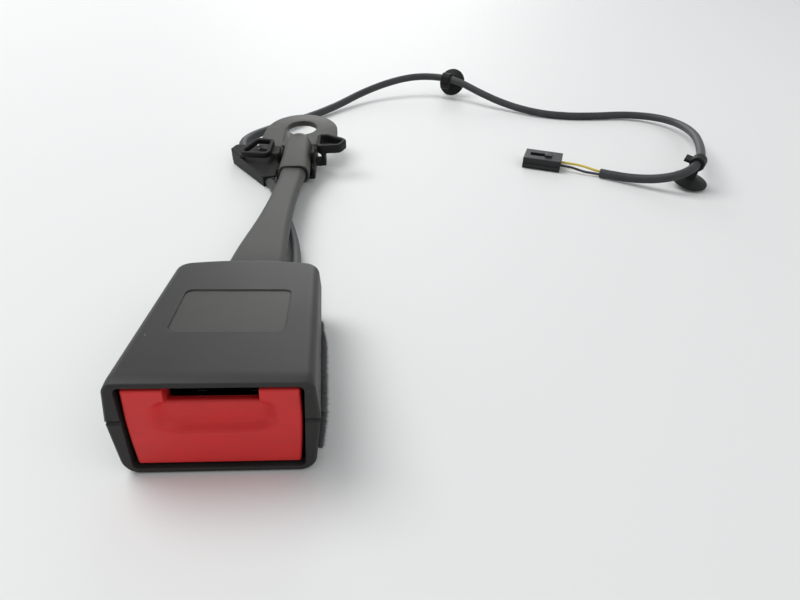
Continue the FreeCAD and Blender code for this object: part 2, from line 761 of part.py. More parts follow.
def press_button():
    half_top = opening_half() - button_gap
    half_low = half_top - opening_taper
    face_y = front_y + button_recess
    low = opening_sill + button_foot_gap
    high = deck_height - button_top_depth
    slope = math.tan(math.radians(roof_slope))
    rear = face_y + button_body
    corners = [Vector(-half_low, face_y, low), Vector(half_low, face_y, low),
               Vector(half_top, face_y, high), Vector(-half_top, face_y, high)]
    body = Part.Face(Part.makePolygon(corners + corners[:1])).extrude(Vector(0, button_body, 0))
    # the button's top face runs parallel to the roof
    wedge = [Vector(-30, face_y, high), Vector(-30, rear + 1, high - (rear + 1 - face_y) * slope),
             Vector(-30, rear + 1, high + 5), Vector(-30, face_y, high + 5)]
    body = body.cut(Part.Face(Part.makePolygon(wedge + wedge[:1])).extrude(Vector(60, 0, 0)))
    along = [edge for edge in body.Edges if edge.BoundBox.YLength > button_body - 0.1]
    body = body.makeFillet(button_low_corner, [edge for edge in along if edge.BoundBox.ZMax < low + 0.1])
    front_edges = [edge for edge in body.Edges
                   if abs(edge.BoundBox.YMax - face_y) < 1e-3 and edge.BoundBox.ZMin < high - 0.1]
    body = body.makeChamfer(button_front_edge, front_edges)
    body = body.cut(scoop_tool(face_y))
    rim = [edge for edge in body.Edges
           if abs(edge.BoundBox.YMin - face_y) < 1e-3 and abs(edge.BoundBox.YMax - face_y) < 1e-3
           and max(abs(edge.BoundBox.XMin), abs(edge.BoundBox.XMax)) < half_low - button_low_corner]
    body = body.makeFillet(scoop_rim, rim)
    # hollow from behind
    web = face_y + button_web
    hollow = [Vector(-half_low + button_skin, web, low + button_skin),
              Vector(half_low - button_skin, web, low + button_skin),
              Vector(half_top - button_skin, web, high - button_crown),
              Vector(-half_top + button_skin, web, high - button_crown)]
    body = body.cut(Part.Face(Part.makePolygon(hollow + hollow[:1])).extrude(Vector(0, button_body, 0)))
    # seats for the two springs
    for side in (-1, 1):
        seat = Part.makeCylinder(1.5, 3.4, Vector(side * button_spring_x, web - 0.1, button_spring_z),
                                 Vector(0, 1, 0))
        body = body.fuse(seat)
    # tongue notch
    notch = under_roof(box(-slot_width / 2, slot_width / 2, -6, 14, -channel_depth, 2))
    body = body.cut(notch)
    # legs with the sloping cam slots that pull the latch down
    inner = frame_width / 2.0 + button_leg_gap
    drop = (pivot_y - ear_y) * math.sin(math.radians(release_angle))
    radius = ear_pin_radius + cam_clearance
    for side in (-1, 1):
        x_low = min(side * inner, side * (inner + button_leg_thick))
        leg = box(x_low, x_low + button_leg_thick, rear - 1.5, button_leg_end, -button_leg_bottom, -button_leg_top)
        slot = cam_slot(radius, drop)
        leg = leg.cut(slot)
        leg_corners = [edge for edge in leg.Edges if edge.BoundBox.XLength > button_leg_thick - 0.1
                       and edge.BoundBox.YMin > button_leg_end - 1 and edge.BoundBox.YLength < 0.01]
        leg = leg.makeFillet(2.0, leg_corners)
        body = body.fuse(under_roof(leg))
    return body.removeSplitter()


def cam_slot(radius, drop):
    """Slot that carries the ear pin down as the button goes back."""
    start = Vector(-30, ear_y, -pivot_depth)
    end = Vector(-30, ear_y - button_travel, -pivot_depth - drop)
    along = (end - start).normalize()
    across = Vector(0, -along.z, along.y) * radius
    face = Part.Face(Part.makePolygon([start + across, end + across, end - across, start - across, start + across]))
    slot = face.extrude(Vector(60, 0, 0))
    for point in (start, end):
        slot = slot.fuse(Part.makeCylinder(radius, 60, point, Vector(1, 0, 0)))
    return slot


def button_springs():
    start = front_y + button_recess + button_web + 0.1
    length = button_spring_rear - start - 0.1
    springs = [coil(button_spring_radius, button_spring_wire, length, 8,
                    Vector(side * button_spring_x, start, button_spring_z), Vector(0, 1, 0)) for side in (-1, 1)]
    return Part.makeCompound(springs)


# Stalk

def rounded_outline(centre, half_width, half_height, radius):
    """A rounded rectangle across Y."""
    w, h, r = half_width, half_height, radius
    k = r * (1.0 - math.sqrt(0.5))

    def at(x, up):
        return centre + Vector(x, 0, up)
    edges = [
        Part.LineSegment(at(-w + r, -h), at(w - r, -h)).toShape(),
        Part.Arc(at(w - r, -h), at(w - k, -h + k), at(w, -h + r)).toShape(),
        Part.LineSegment(at(w, -h + r), at(w, h - r)).toShape(),
        Part.Arc(at(w, h - r), at(w - k, h - k), at(w - r, h)).toShape(),
        Part.LineSegment(at(w - r, h), at(-w + r, h)).toShape(),
        Part.Arc(at(-w + r, h), at(-w + k, h - k), at(-w, h - r)).toShape(),
        Part.LineSegment(at(-w, h - r), at(-w, -h + r)).toShape(),
        Part.Arc(at(-w, -h + r), at(-w + k, -h + k), at(-w + r, -h)).toShape(),
    ]
    return Part.Wire(edges)


def stalk_height(y):
    """Height of the rope between the head and the ferrule."""
    head = under_roof_point(0, stalk_head_y, rope_depth)
    return head.z + (anchor_z - head.z) * (y - head.y) / (anchor_y - head.y)


# y, centre and half the distance between the two rope legs
stalk_line = [
    (82.0, 0.1, 7.2), (103.0, 0.7, 6.2), (126.0, 2.3, 4.2), (150.0, 3.9, 2.9), (172.0, 5.5, 2.6),
]


def rope_points():
    """One leg from the ferrule to the loop, the loop, and the other leg back."""
    right = []
    for y, centre, half_pitch in reversed(stalk_line):
        right.append((centre, half_pitch, y, stalk_height(y)))
    ferrule_half = rope_pitch_at_ferrule / 2.0
    points = []
    for side in (1, -1):
        leg = [tuple(at_anchor_point(side * ferrule_half, ferrule_socket - 1.0, 0)),
               tuple(at_anchor_point(side * ferrule_half, 2.0, 0))]
        leg += [(centre + side * half_pitch, y, z) for centre, half_pitch, y, z in right]
        leg.append(tuple(under_roof_point(side * loop_radius, loop_y - loop_radius, rope_depth)))
        points.append(leg)
    return points[0] + points[1][::-1]


def rope_wire():
    points = rope_points()
    corners = [Vector(*point) for point in points]
    radii = []
    for index in range(1, len(corners) - 1):
        tip = index in (len(stalk_line) + 2, len(stalk_line) + 3)
        radii.append(loop_radius - 0.05 if tip else corner_radius_of(*corners[index - 1:index + 2]))
        # the runs beside the loop give their length to the loop's own arcs
        if index in (len(stalk_line) + 1, len(stalk_line) + 4):
            radii[-1] = min(radii[-1], 40.0)
    return rounded_wire(points, radii)


def stalk_sleeve():
    head = under_roof_point(0, stalk_head_y, rope_depth)
    end = at_anchor_point(0, sleeve_seat, 0)
    places = [(head.y, 0.0, loop_radius)] + stalk_line + [(end.y, end.x, rope_pitch_at_ferrule / 2)]
    outlines = []
    bores = []
    for y, centre, half_pitch in places:
        middle = Vector(centre, y, stalk_height(y))
        reach = half_pitch + rope_diameter / 2
        half = rope_diameter / 2 + sleeve_wall
        outlines.append(rounded_outline(middle, reach + sleeve_wall, half, half - 0.4))
        half = rope_diameter / 2 + sleeve_gap
        bores.append(rounded_outline(middle, reach + sleeve_gap, half, half - 0.3))
    outer = Part.makeLoft(outlines, True, True)
    return outer.cut(Part.makeLoft(bores, True, True))


def stalk_bush():
    top = -channel_depth - frame_plate
    spool = Part.makeCylinder(bush_radius, 7.2, Vector(0, loop_y, top - 7.3), Vector(0, 0, 1))
    flange = Part.makeCylinder(loop_radius + rope_diameter / 2, 1.0, Vector(0, loop_y, top - 8.3), Vector(0, 0, 1))
    bush = spool.fuse(flange)
    return under_roof(bush.cut(Part.makeCylinder(bush_bore, 20, Vector(0, loop_y, top - 15), Vector(0, 0, 1))))


def stalk_rivet():
    top = -channel_depth
    low = -channel_depth - frame_plate - rivet_reach
    shank = Part.makeCylinder(rivet_radius, top - low, Vector(0, loop_y, low), Vector(0, 0, 1))
    upper = Part.makeCylinder(rivet_head_radius, rivet_head_thick, Vector(0, loop_y, top), Vector(0, 0, 1))
    lower = Part.makeCylinder(rivet_head_radius, rivet_head_thick, Vector(0, loop_y, low - rivet_head_thick),
                              Vector(0, 0, 1))
    upper = upper.makeChamfer(0.6, [e for e in upper.Edges if e.BoundBox.ZMin > top + rivet_head_thick - 0.01])
    lower = lower.makeChamfer(0.6, [e for e in lower.Edges if e.BoundBox.ZMax < low - rivet_head_thick + 0.01])
    return under_roof(shank.fuse([upper, lower]).removeSplitter())


def sensor_housing():
    body = box(-sensor_half, sensor_half, sensor_front, sensor_rear, -sensor_depth - sensor_thick, -sensor_depth)
    body = body.makeFillet(0.8, upright_edges(body))
    # snout that the lead comes out of
    snout = box(sensor_half - 2, sensor_half + 2.4, sensor_rear - 8, sensor_rear + 2,
                -sensor_depth - sensor_thick + 0.4, -sensor_depth - 0.6)
    return under_roof(body.fuse(snout).removeSplitter())


# Anchor

def anchor_outline(v, half_width, half_height, radius, w_centre=0.0):
    return rounded_outline(Vector(0, v, w_centre), half_width, half_height, radius)


def plate_blank():
    """The plate's outline: a round end, straight sides, shoulders and a neck under the ferrule."""
    low = plate_top - plate_thick
    neck = ferrule_width / 2.0 - 2.0
    reach = plate_radius
    corners = [Vector(reach, plate_centre, low), Vector(reach, plate_front, low),
               Vector(neck, plate_front - 4.0, low), Vector(-neck, plate_front - 4.0, low),
               Vector(-reach, plate_front, low), Vector(-reach, plate_centre, low)]
    edges = [Part.Arc(corners[-1], Vector(0, plate_centre + reach, low), corners[0]).toShape()]
    for start, end in zip(corners[:-1], corners[1:]):
        edges.append(Part.LineSegment(start, end).toShape())
    plate = Part.Face(Part.Wire(edges)).extrude(Vector(0, 0, plate_thick))
    shoulders = [edge for edge in upright_edges(plate) if abs(edge.BoundBox.YMin - plate_front) < 0.01]
    return plate.makeFillet(plate_shoulder, shoulders)


def anchor_plate():
    w, h = ferrule_width / 2.0, ferrule_height / 2.0
    barrel = Part.makeLoft([anchor_outline(0, w, h, ferrule_corner),
                            anchor_outline(ferrule_length, w, h, ferrule_corner)], True, True)
    # share of the nose's length, then its width, height and drop there
    nose_shape = ((0.0, 1.0, 1.0, 0.0), (0.34, 0.97, 0.93, 0.2), (0.62, 0.85, 0.77, 0.7), (0.84, 0.64, 0.54, 1.5),
                  (1.0, 0.36, 0.26, 2.6))
    nose = Part.makeLoft([
        anchor_outline(ferrule_length + along * ferrule_nose, wide * w, tall * h, ferrule_corner * min(wide, tall),
                       -drop) for along, wide, tall, drop in nose_shape], True, False)
    plate = plate_blank()
    rims = [edge for edge in plate.Edges if edge.BoundBox.ZMin > plate_top - 0.01
            and edge.BoundBox.YMax > plate_front + 0.5]
    plate = plate.makeChamfer(0.5, rims)
    anchor = barrel.fuse([nose, plate])
    anchor = anchor.cut(Part.makeCylinder(bolt_hole_radius, 30, Vector(0, bolt_hole_v, -15), Vector(0, 0, 1)))
    # a wide mouth for the sleeve and a deeper bore for the two rope legs
    reach = (rope_pitch_at_ferrule + rope_diameter) / 2.0
    half = rope_diameter / 2.0
    mouth = sleeve_wall + socket_gap
    socket = Part.makeLoft([anchor_outline(v, reach + mouth, half + mouth, 3.0) for v in (-1, 6)], True, True)
    deep = Part.makeLoft([anchor_outline(v, reach + sleeve_gap, half + sleeve_gap, 2.3)
                          for v in (5, ferrule_socket)], True, True)
    anchor = anchor.cut(socket).cut(deep)
    return at_anchor(anchor.removeSplitter())


# Cable holder

def loop_ear(outline, w_low, w_high, corner):
    """A closed ear: an outline with rounded corners and the same outline, smaller, cut out."""
    outer = rounded_prism(outline, w_low, w_high, corner)
    wire = Part.makePolygon([Vector(x, y, w_low - 1) for x, y in outline + outline[:1]])
    inner_face = Part.Face(wire).makeOffset2D(-ear_wall)
    inner = Part.Face(inner_face.OuterWire).extrude(Vector(0, 0, w_high - w_low + 2))
    inner = inner.makeFillet(max(corner - ear_wall, 0.8), upright_edges(inner))
    return outer.cut(inner)


left_ear_outline = [(-31.6, 19.6), (-14.0, 17.4), (-12.6, 34.6), (-22.8, 36.2)]
right_ear_outline = [(10.2, 21.6), (23.0, 22.8), (27.0, 29.4), (16.4, 36.4), (10.2, 36.4)]
# outer edge of the skirt, from the stalk to the far left corner
curtain_start = (-16.3, 2.5)
curtain_end = (-37.3, 33.5)


def lead_cover(outer):
    """The left skirt: a top plate over the lead and a curtain wall down to the table."""
    plate_outline = [(-outer + 0.4, 3.0), curtain_start, curtain_end, (-34.6, 38.6), (-outer + 0.4, 34.6)]
    plate = prism(plate_outline, skirt_top - skirt_thick, skirt_top)
    start = Vector(*curtain_start, 0)
    end = Vector(*curtain_end, 0)
    inward = Vector(end.y - start.y, start.x - end.x, 0).normalize() * curtain_wall
    wall_outline = [(start.x, start.y), (end.x, end.y), (end.x + inward.x, end.y + inward.y),
                    (start.x + inward.x, start.y + inward.y)]
    return plate.fuse(prism(wall_outline, curtain_low, skirt_top))


def cable_holder():
    floor_low = holder_floor_top - holder_floor_thick
    half = ferrule_width / 2.0 + holder_gap
    outer = half + holder_wall
    holder = box(-outer, outer, holder_front, holder_rear, floor_low, holder_floor_top)
    pieces = [lead_cover(outer)]
    for side in (-1, 1):
        x_low = min(side * half, side * outer)
        pieces.append(box(x_low, x_low + holder_wall, holder_front, holder_rear - 1, floor_low, plate_top))
        # hook that snaps over the ferrule's shoulder
        pieces.append(box(x_low, x_low + holder_wall, 14, 22, plate_top - 0.5, ferrule_height / 2 - 0.6))
    pieces.append(loop_ear(left_ear_outline, left_ear_low, left_ear_top, 3.2))
    # arm and post that carry the left ear over the skirt
    pieces.append(box(-14.6, -outer + 0.4, 21.0, 31.0, left_ear_low, plate_top + 1.6))
    pieces.append(box(-30.6, -28.2, 21.6, 25.6, skirt_top - 0.4, left_ear_low + 0.4))
    pieces.append(loop_ear(right_ear_outline, right_ear_low, right_ear_top, 3.0))
    # post and foot that carry the right ear
    pieces.append(box(outer - 0.4, 14.6, 21.8, 27.6, floor_low, floor_low + 3.0))
    pieces.append(box(12.6, 15.0, 21.8, 27.6, floor_low, right_ear_low + 0.4))
    for piece in pieces:
        holder = holder.fuse(piece)
    # room for the ferrule, its plate and the lead
    ferrule_room = Part.makeLoft([anchor_outline(v, half, ferrule_height / 2 + holder_gap, ferrule_corner + 0.2)
                                  for v in (-5, 40)], True, True)
    holder = holder.cut(ferrule_room)
    plate_room = box(-plate_radius - 2, plate_radius + 2, plate_front - 4.4, 80,
                     plate_top - plate_thick - holder_gap, plate_top + holder_gap)
    holder = holder.cut(plate_room)
    table = box(-80, 80, 150, 300, -20, 0)
    return at_anchor(holder.removeSplitter()).cut(table)


# Clips, connector and wires

def cord_clip(place):
    """Strap round the lead, neck, umbrella disc and barbed stud, drawn hanging along -Z."""
    inner = lead_diameter / 2.0 + clip_gap
    outer = inner + clip_band
    half = clip_band_width / 2.0
    ring = Part.makeCylinder(outer, clip_band_width, Vector(0, -half, 0), Vector(0, 1, 0))
    lug = box(outer - 0.6, outer + 3.2, -half, half, -0.8, 0.8)
    crown = -clip_disc_drop + clip_disc_cup / 2.0
    rim = -clip_disc_drop - clip_disc_cup / 2.0
    neck = box(-clip_neck_radius, clip_neck_radius, -half, half, crown - 0.6, -outer + 0.5)
    profile = [Vector(0, 0, crown), Vector(clip_neck_radius + 1.0, 0, crown),
               Vector(clip_disc_radius, 0, rim + 0.7), Vector(clip_disc_radius, 0, rim),
               Vector(clip_neck_radius + 1.0, 0, crown - clip_disc_thick - 0.3),
               Vector(0, 0, crown - clip_disc_thick - 0.3)]
    disc = Part.Face(Part.makePolygon(profile + profile[:1])).revolve(Vector(0, 0, 0), Vector(0, 0, 1), 360)
    stud_top = crown - clip_disc_thick
    stud_low = rim - clip_stud_length + 1.6
    barb = [Vector(0, 0, stud_top), Vector(1.7, 0, stud_top), Vector(1.7, 0, stud_top - 1.8),
            Vector(clip_stud_radius, 0, stud_top - 2.4), Vector(clip_stud_radius, 0, stud_top - 3.0),
            Vector(1.2, 0, stud_low + 0.4), Vector(0.7, 0, stud_low), Vector(0, 0, stud_low)]
    stud = Part.Face(Part.makePolygon(barb + barb[:1])).revolve(Vector(0, 0, 0), Vector(0, 0, 1), 360)
    clip = ring.fuse([lug, neck, disc, stud])
    clip = clip.cut(Part.makeCylinder(inner, clip_band_width + 2, Vector(0, -half - 1, 0), Vector(0, 1, 0)))
    clip.Placement = place
    return clip


def clip_place(run, spin):
    """A clip half way along a run of the free route, hanging straight down and then spun about the lead."""
    start = Vector(*free_route[run])
    end = Vector(*free_route[run + 1])
    way = (end - start).normalize()
    down = (Vector(0, 0, -1) + way * way.z).normalize()
    down = FreeCAD.Rotation(way, spin).multVec(down)
    across = way.cross(down * -1)
    turn = FreeCAD.Rotation(across, way, down * -1, "ZYX")
    return FreeCAD.Placement((start + end) * 0.5, turn)


def at_connector(shape):
    moved = shape.copy()
    moved.rotate(Vector(0, 0, 0), Vector(0, 0, 1), connector_yaw)
    moved.translate(Vector(connector_x, connector_y, 0))
    return moved


def connector_housing():
    l, d, h = connector_length / 2.0, connector_depth / 2.0, connector_height
    body = box(-l, l, -d, d, 0.0, h)
    body = body.makeFillet(0.7, [edge for edge in body.Edges if edge.BoundBox.XLength > connector_length - 0.1])
    # mating mouth at the far end with a centre tongue, and the two wire cavities
    body = body.cut(box(-l - 1, -l + 9.0, -d + 1.4, d - 1.4, 1.2, h - 1.2))
    for place in cavity_places:
        body = body.cut(Part.makeCylinder(cavity_radius, 13.2, Vector(l + 1, place, h / 2), Vector(-1, 0, 0)))
    body = body.cut(box(-l + 3.0, l - 7.0, -2.4, 2.4, h - 1.2, h + 1))
    # locking arm: a bump at its free end
    arm = box(l - 9.5, l - 5.5, -2.4, 2.4, h - 0.4, h + 1.0)
    arm = arm.makeFillet(0.5, [edge for edge in arm.Edges if edge.BoundBox.YLength > 4 and edge.BoundBox.ZMin > h])
    rail_low = box(-l, l, -d - 0.9, -d + 0.5, 1.6, 2.8)
    rail_high = box(-l + 4, l, d - 0.5, d + 0.9, 1.6, 2.8)
    return at_connector(body.fuse([arm, rail_low, rail_high]).removeSplitter())


def connector_terminals():
    l, h = connector_length / 2.0, connector_height
    pins = []
    for place in cavity_places:
        pins.append(box(-l + 3.0, -l + 9.6, place - 0.9, place + 0.9, h / 2 - 0.4, h / 2 + 0.4))
    return at_connector(Part.makeCompound(pins))


# Build and save

def build():
    shell = head_shell()
    rope = rope_wire()
    pieces = {
        "upper_cover": upper_cover(shell),
        "lower_cover": lower_cover(shell),
        "felt_pad": felt_pad(),
        "buckle_frame": buckle_frame(),
        "latch_plate": latch_plate(),
        "latch_ear_pin": ear_pin(),
        "latch_pivot_pin": pivot_pin(),
        "latch_spring": latch_spring(),
        "ejector": ejector(),
        "ejector_springs": ejector_springs(),
        "sensor_magnet": sensor_magnet(),
        "press_button": press_button(),
        "button_springs": button_springs(),
        "stalk_rope": tube(rope, rope_diameter / 2.0),
        "stalk_sleeve": stalk_sleeve(),
        "stalk_bush": stalk_bush(),
        "stalk_rivet": stalk_rivet(),
        "sensor_housing": sensor_housing(),
        "anchor_plate": anchor_plate(),
        "cable_holder": cable_holder(),
        "sensor_lead": cord(held_route, lead_diameter, "sensor_lead"),
    }
    on_cord = {
        "lead_cord": cord(free_route, lead_diameter, "lead_cord"),
        "far_clip": cord_clip(clip_place(12, 66)),
        "near_clip": cord_clip(clip_place(27, -10)),
        "wire_yellow": cord(yellow_route, wire_diameter, "wire_yellow"),
        "wire_black": cord(black_route, wire_diameter, "wire_black"),
        "connector_housing": connector_housing(),
        "connector_terminals": connector_terminals(),
    }
    return pieces, on_cord


def main():
    os.makedirs("parts", exist_ok=True)
    pieces, on_cord = build()
    box_all = FreeCAD.BoundBox()
    for shape in pieces.values():
        box_all.add(shape.optimalBoundingBox(False, False))
    shift = Vector(-box_all.Center.x, -box_all.Center.y, -box_all.ZMin)
    print("shift", [round(value, 3) for value in shift])
    print("box", box_all)
    for name, shape in {**pieces, **on_cord}.items():
        shape = shape.copy()
        shape.translate(shift)
        low = shape.optimalBoundingBox(False, False)
        print(name, "solids", len(shape.Solids), "valid", shape.isValid(), "volume", round(shape.Volume, 1),
              "z", round(low.ZMin, 2), round(low.ZMax, 2))
        shape.exportStep(os.path.join("parts", name + ".step"))
    hole = at_anchor_point(0, bolt_hole_v, plate_top - plate_thick / 2) + shift
    hole_axis = anchor_rotation().multVec(Vector(0, 0, 1))
    print("bolt hole", hole, "axis", hole_axis)
    slide = under_roof_point(0, 1, 0) - under_roof_point(0, 0, 0)
    print("slide axis", slide, "pivot", under_roof_point(0, pivot_y, pivot_depth) + shift)


main()
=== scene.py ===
import json
import math
import random

import bmesh
import bpy
from mathutils import Matrix, Vector
from mathutils.bvhtree import BVHTree


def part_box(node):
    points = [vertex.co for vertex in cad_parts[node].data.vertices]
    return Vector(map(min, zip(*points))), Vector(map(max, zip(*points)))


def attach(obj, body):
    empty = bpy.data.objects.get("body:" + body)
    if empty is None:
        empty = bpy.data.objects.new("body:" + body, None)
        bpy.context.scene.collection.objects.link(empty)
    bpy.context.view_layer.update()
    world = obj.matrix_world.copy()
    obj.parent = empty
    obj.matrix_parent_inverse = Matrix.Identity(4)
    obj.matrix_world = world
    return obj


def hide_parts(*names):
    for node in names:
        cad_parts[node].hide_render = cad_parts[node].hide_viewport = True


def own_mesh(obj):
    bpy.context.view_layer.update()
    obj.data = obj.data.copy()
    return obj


# Seat belt buckle on its stalk, with the bolt-down anchor and the clipped sensor lead.
# Settings are millimetres where a name ends in Mm. Points of the cords are metres.

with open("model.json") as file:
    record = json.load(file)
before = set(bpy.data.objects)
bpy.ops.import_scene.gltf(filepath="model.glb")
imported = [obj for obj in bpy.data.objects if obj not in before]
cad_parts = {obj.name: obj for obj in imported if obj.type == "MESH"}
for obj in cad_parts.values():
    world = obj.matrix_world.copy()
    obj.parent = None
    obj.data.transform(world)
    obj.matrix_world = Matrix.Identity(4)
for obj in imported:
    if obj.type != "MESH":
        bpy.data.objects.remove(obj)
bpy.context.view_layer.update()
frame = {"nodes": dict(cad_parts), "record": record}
nodes = frame["nodes"]
mm = 0.001

# The middle of the head on the table, 1 mm behind its front face. Camera, cords and the pieces made here are
# measured from it.
headLow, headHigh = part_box("upper_cover")
headOrigin = Vector(((headLow.x + headHigh.x) / 2, headLow.y + 1.0 * mm, 0.0))


def deselectAll():
    if bpy.context.object and bpy.context.object.mode != "OBJECT":
        bpy.ops.object.mode_set(mode="OBJECT")
    bpy.ops.object.select_all(action="DESELECT")


def makeActive(piece):
    deselectAll()
    piece.select_set(True)
    bpy.context.view_layer.objects.active = piece


def copyOfNode(nodeName, name):
    # a copy to work on: the solid's loose triangles are merged first
    piece = bpy.data.objects.new(name, nodes[nodeName].data.copy())
    bpy.context.scene.collection.objects.link(piece)
    makeActive(piece)
    bpy.ops.object.mode_set(mode="EDIT")
    bpy.ops.mesh.select_all(action="SELECT")
    bpy.ops.mesh.remove_doubles(threshold=0.00002)
    bpy.ops.object.mode_set(mode="OBJECT")
    return piece


def addRemesh(piece, voxelMm):
    remesh = piece.modifiers.new("remesh", "REMESH")
    remesh.mode = "VOXEL"
    remesh.voxel_size = voxelMm * mm


def applyModifiers(*names):
    for name in names:
        bpy.ops.object.modifier_apply(modifier=name)


def workWith(tool, piece, operation):
    # adds the tool to the piece or cuts it away, and uses the tool up
    makeActive(piece)
    change = piece.modifiers.new("change", "BOOLEAN")
    change.operation = operation
    change.solver = "EXACT"
    change.object = tool
    applyModifiers("change")
    bpy.data.objects.remove(tool)


def smoothStep(value):
    value = min(1.0, max(0.0, value))
    return value * value * (3.0 - 2.0 * value)


# Camera: 140 mm above the table, as fitted to the head's corners in the photo.
cameraSet = {
    "placeMm": (34.96, -128.90, 139.5),
    "yawDeg": 5.2,
    "pitchDeg": 33.0,
    "rollDeg": 2.77,
    "focalPixels": 660.0,
    "imageWidth": 800.0,
    "sensorMm": 36.0,
    "seesFrom": 0.01,
    "seesTo": 20.0,
}


def makeCamera(s):
    camera = bpy.data.cameras.new("photoCamera")
    camera.sensor_width = s["sensorMm"]
    camera.lens = s["focalPixels"] / s["imageWidth"] * camera.sensor_width
    camera.clip_start = s["seesFrom"]
    camera.clip_end = s["seesTo"]
    stand = bpy.data.objects.new("photoCamera", camera)
    bpy.context.scene.collection.objects.link(stand)
    yaw, pitch, roll = (math.radians(s[k]) for k in ("yawDeg", "pitchDeg", "rollDeg"))
    ahead = Vector((math.sin(yaw), math.cos(yaw), 0.0))
    side = Vector((math.cos(yaw), -math.sin(yaw), 0.0))
    forward = ahead * math.cos(pitch) + Vector((0, 0, -math.sin(pitch)))
    up = ahead * math.sin(pitch) + Vector((0, 0, math.cos(pitch)))
    right = side * math.cos(roll) + up * math.sin(roll)
    top = up * math.cos(roll) - side * math.sin(roll)
    turn = Matrix((right, top, -forward)).transposed().to_4x4()
    stand.matrix_world = Matrix.Translation(headOrigin + Vector(s["placeMm"]) * mm) @ turn
    bpy.context.scene.camera = stand


makeCamera(cameraSet)
print("camera set")


# Cords: the solids' route points are the control points of one smooth spline each. Beside the sleeve and the
# anchor plate the lead's points lie closer to them.
leadSet = {
    "diameter": 0.0048,
    "held": [
        (0.0146, 0.0700, 0.0086), (0.0143, 0.0840, 0.0080), (0.0136, 0.1000, 0.0064),
        (0.0120, 0.1170, 0.0048), (0.0094, 0.1330, 0.0036), (0.0060, 0.1480, 0.0031),
        (0.0026, 0.1630, 0.0028), (-0.0008, 0.1784, 0.0028), (-0.0056, 0.1926, 0.0029),
        (-0.0118, 0.2036, 0.0038), (-0.0174, 0.2132, 0.0048), (-0.0214, 0.2228, 0.0058),
    ],
    "free": [
        (-0.0214, 0.2228, 0.0058), (-0.0243, 0.2298, 0.00655), (-0.0250, 0.2388, 0.0068),
        (-0.0224, 0.2494, 0.0064), (-0.0170, 0.2608, 0.0055), (-0.0092, 0.2738, 0.0044),
        (0.0004, 0.2876, 0.0034), (0.0128, 0.3042, 0.0029), (0.0276, 0.3240, 0.0036),
        (0.0430, 0.3435, 0.0064), (0.0610, 0.3574, 0.0100), (0.0800, 0.3656, 0.0130),
        (0.0980, 0.3636, 0.0142), (0.1136, 0.3540, 0.0138), (0.1276, 0.3416, 0.0092),
        (0.1450, 0.3306, 0.0044), (0.1640, 0.3186, 0.0026), (0.1840, 0.3130, 0.0025),
        (0.2060, 0.3148, 0.0025), (0.2240, 0.3174, 0.0029), (0.2374, 0.3133, 0.0038),
        (0.2468, 0.3046, 0.0050), (0.2517, 0.2912, 0.0064), (0.2514, 0.2750, 0.0082),
        (0.2478, 0.2564, 0.0102), (0.2406, 0.2360, 0.0124), (0.2316, 0.2148, 0.0144),
        (0.2252, 0.2020, 0.0152), (0.2188, 0.1932, 0.0140), (0.2106, 0.1898, 0.0106),
        (0.2008, 0.1934, 0.0066), (0.1912, 0.1998, 0.0039), (0.1828, 0.2058, 0.0028),
        (0.1746, 0.2110, 0.0026),
    ],
}

wireSet = {
    "diameter": 0.00136,
    "yellow": [
        (0.1750, 0.21175, 0.0031), (0.1723, 0.2134, 0.0031), (0.1694, 0.2168, 0.0033),
        (0.1656, 0.2202, 0.0033), (0.16141, 0.22312, 0.0031), (0.15485, 0.22557, 0.0031),
    ],
    "black": [
        (0.17415, 0.21034, 0.0020), (0.1708, 0.2125, 0.0018), (0.1668, 0.2140, 0.0018),
        (0.1632, 0.2160, 0.0024), (0.15959, 0.21825, 0.0030), (0.15303, 0.2207, 0.0031),
    ],
}


def makeCord(name, points, diameter, sides=6):
    curve = bpy.data.curves.new(name, "CURVE")
    curve.dimensions = "3D"
    spline = curve.splines.new("NURBS")
    spline.points.add(len(points) - 1)
    for target, point in zip(spline.points, points):
        target.co = (*(headOrigin + Vector(point)), 1.0)
        target.radius = diameter / 2
    spline.order_u = 3
    spline.use_endpoint_u = True
    spline.resolution_u = 10
    curve.bevel_depth = 1.0  # the points' own radius gives the thickness
    curve.bevel_resolution = sides
    curve.use_fill_caps = True
    cord = bpy.data.objects.new(name, curve)
    bpy.context.scene.collection.objects.link(cord)
    return cord


def splineLength(cord):
    bare = cord.copy()
    bare.data = cord.data.copy()
    bare.data.bevel_depth = 0.0
    bpy.context.scene.collection.objects.link(bare)
    line = bpy.data.meshes.new_from_object(bare.evaluated_get(bpy.context.evaluated_depsgraph_get()))
    places = [v.co.copy() for v in line.vertices]
    bpy.data.objects.remove(bare)
    return sum((b - a).length for a, b in zip(places, places[1:]))


heldLead = makeCord("heldLead", leadSet["held"], leadSet["diameter"])
freeLead = makeCord("freeLead", leadSet["free"], leadSet["diameter"])
yellowWire = makeCord("yellowWire", wireSet["yellow"], wireSet["diameter"], 4)
blackWire = makeCord("blackWire", wireSet["black"], wireSet["diameter"], 4)
print("free lead length", round(splineLength(freeLead), 4))

for piece, node in ((heldLead, "sensor_lead"), (freeLead, "lead_cord"), (yellowWire, "wire_yellow"),
                    (blackWire, "wire_black")):
    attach(piece, "root")
    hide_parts(node)
print("cords laid")


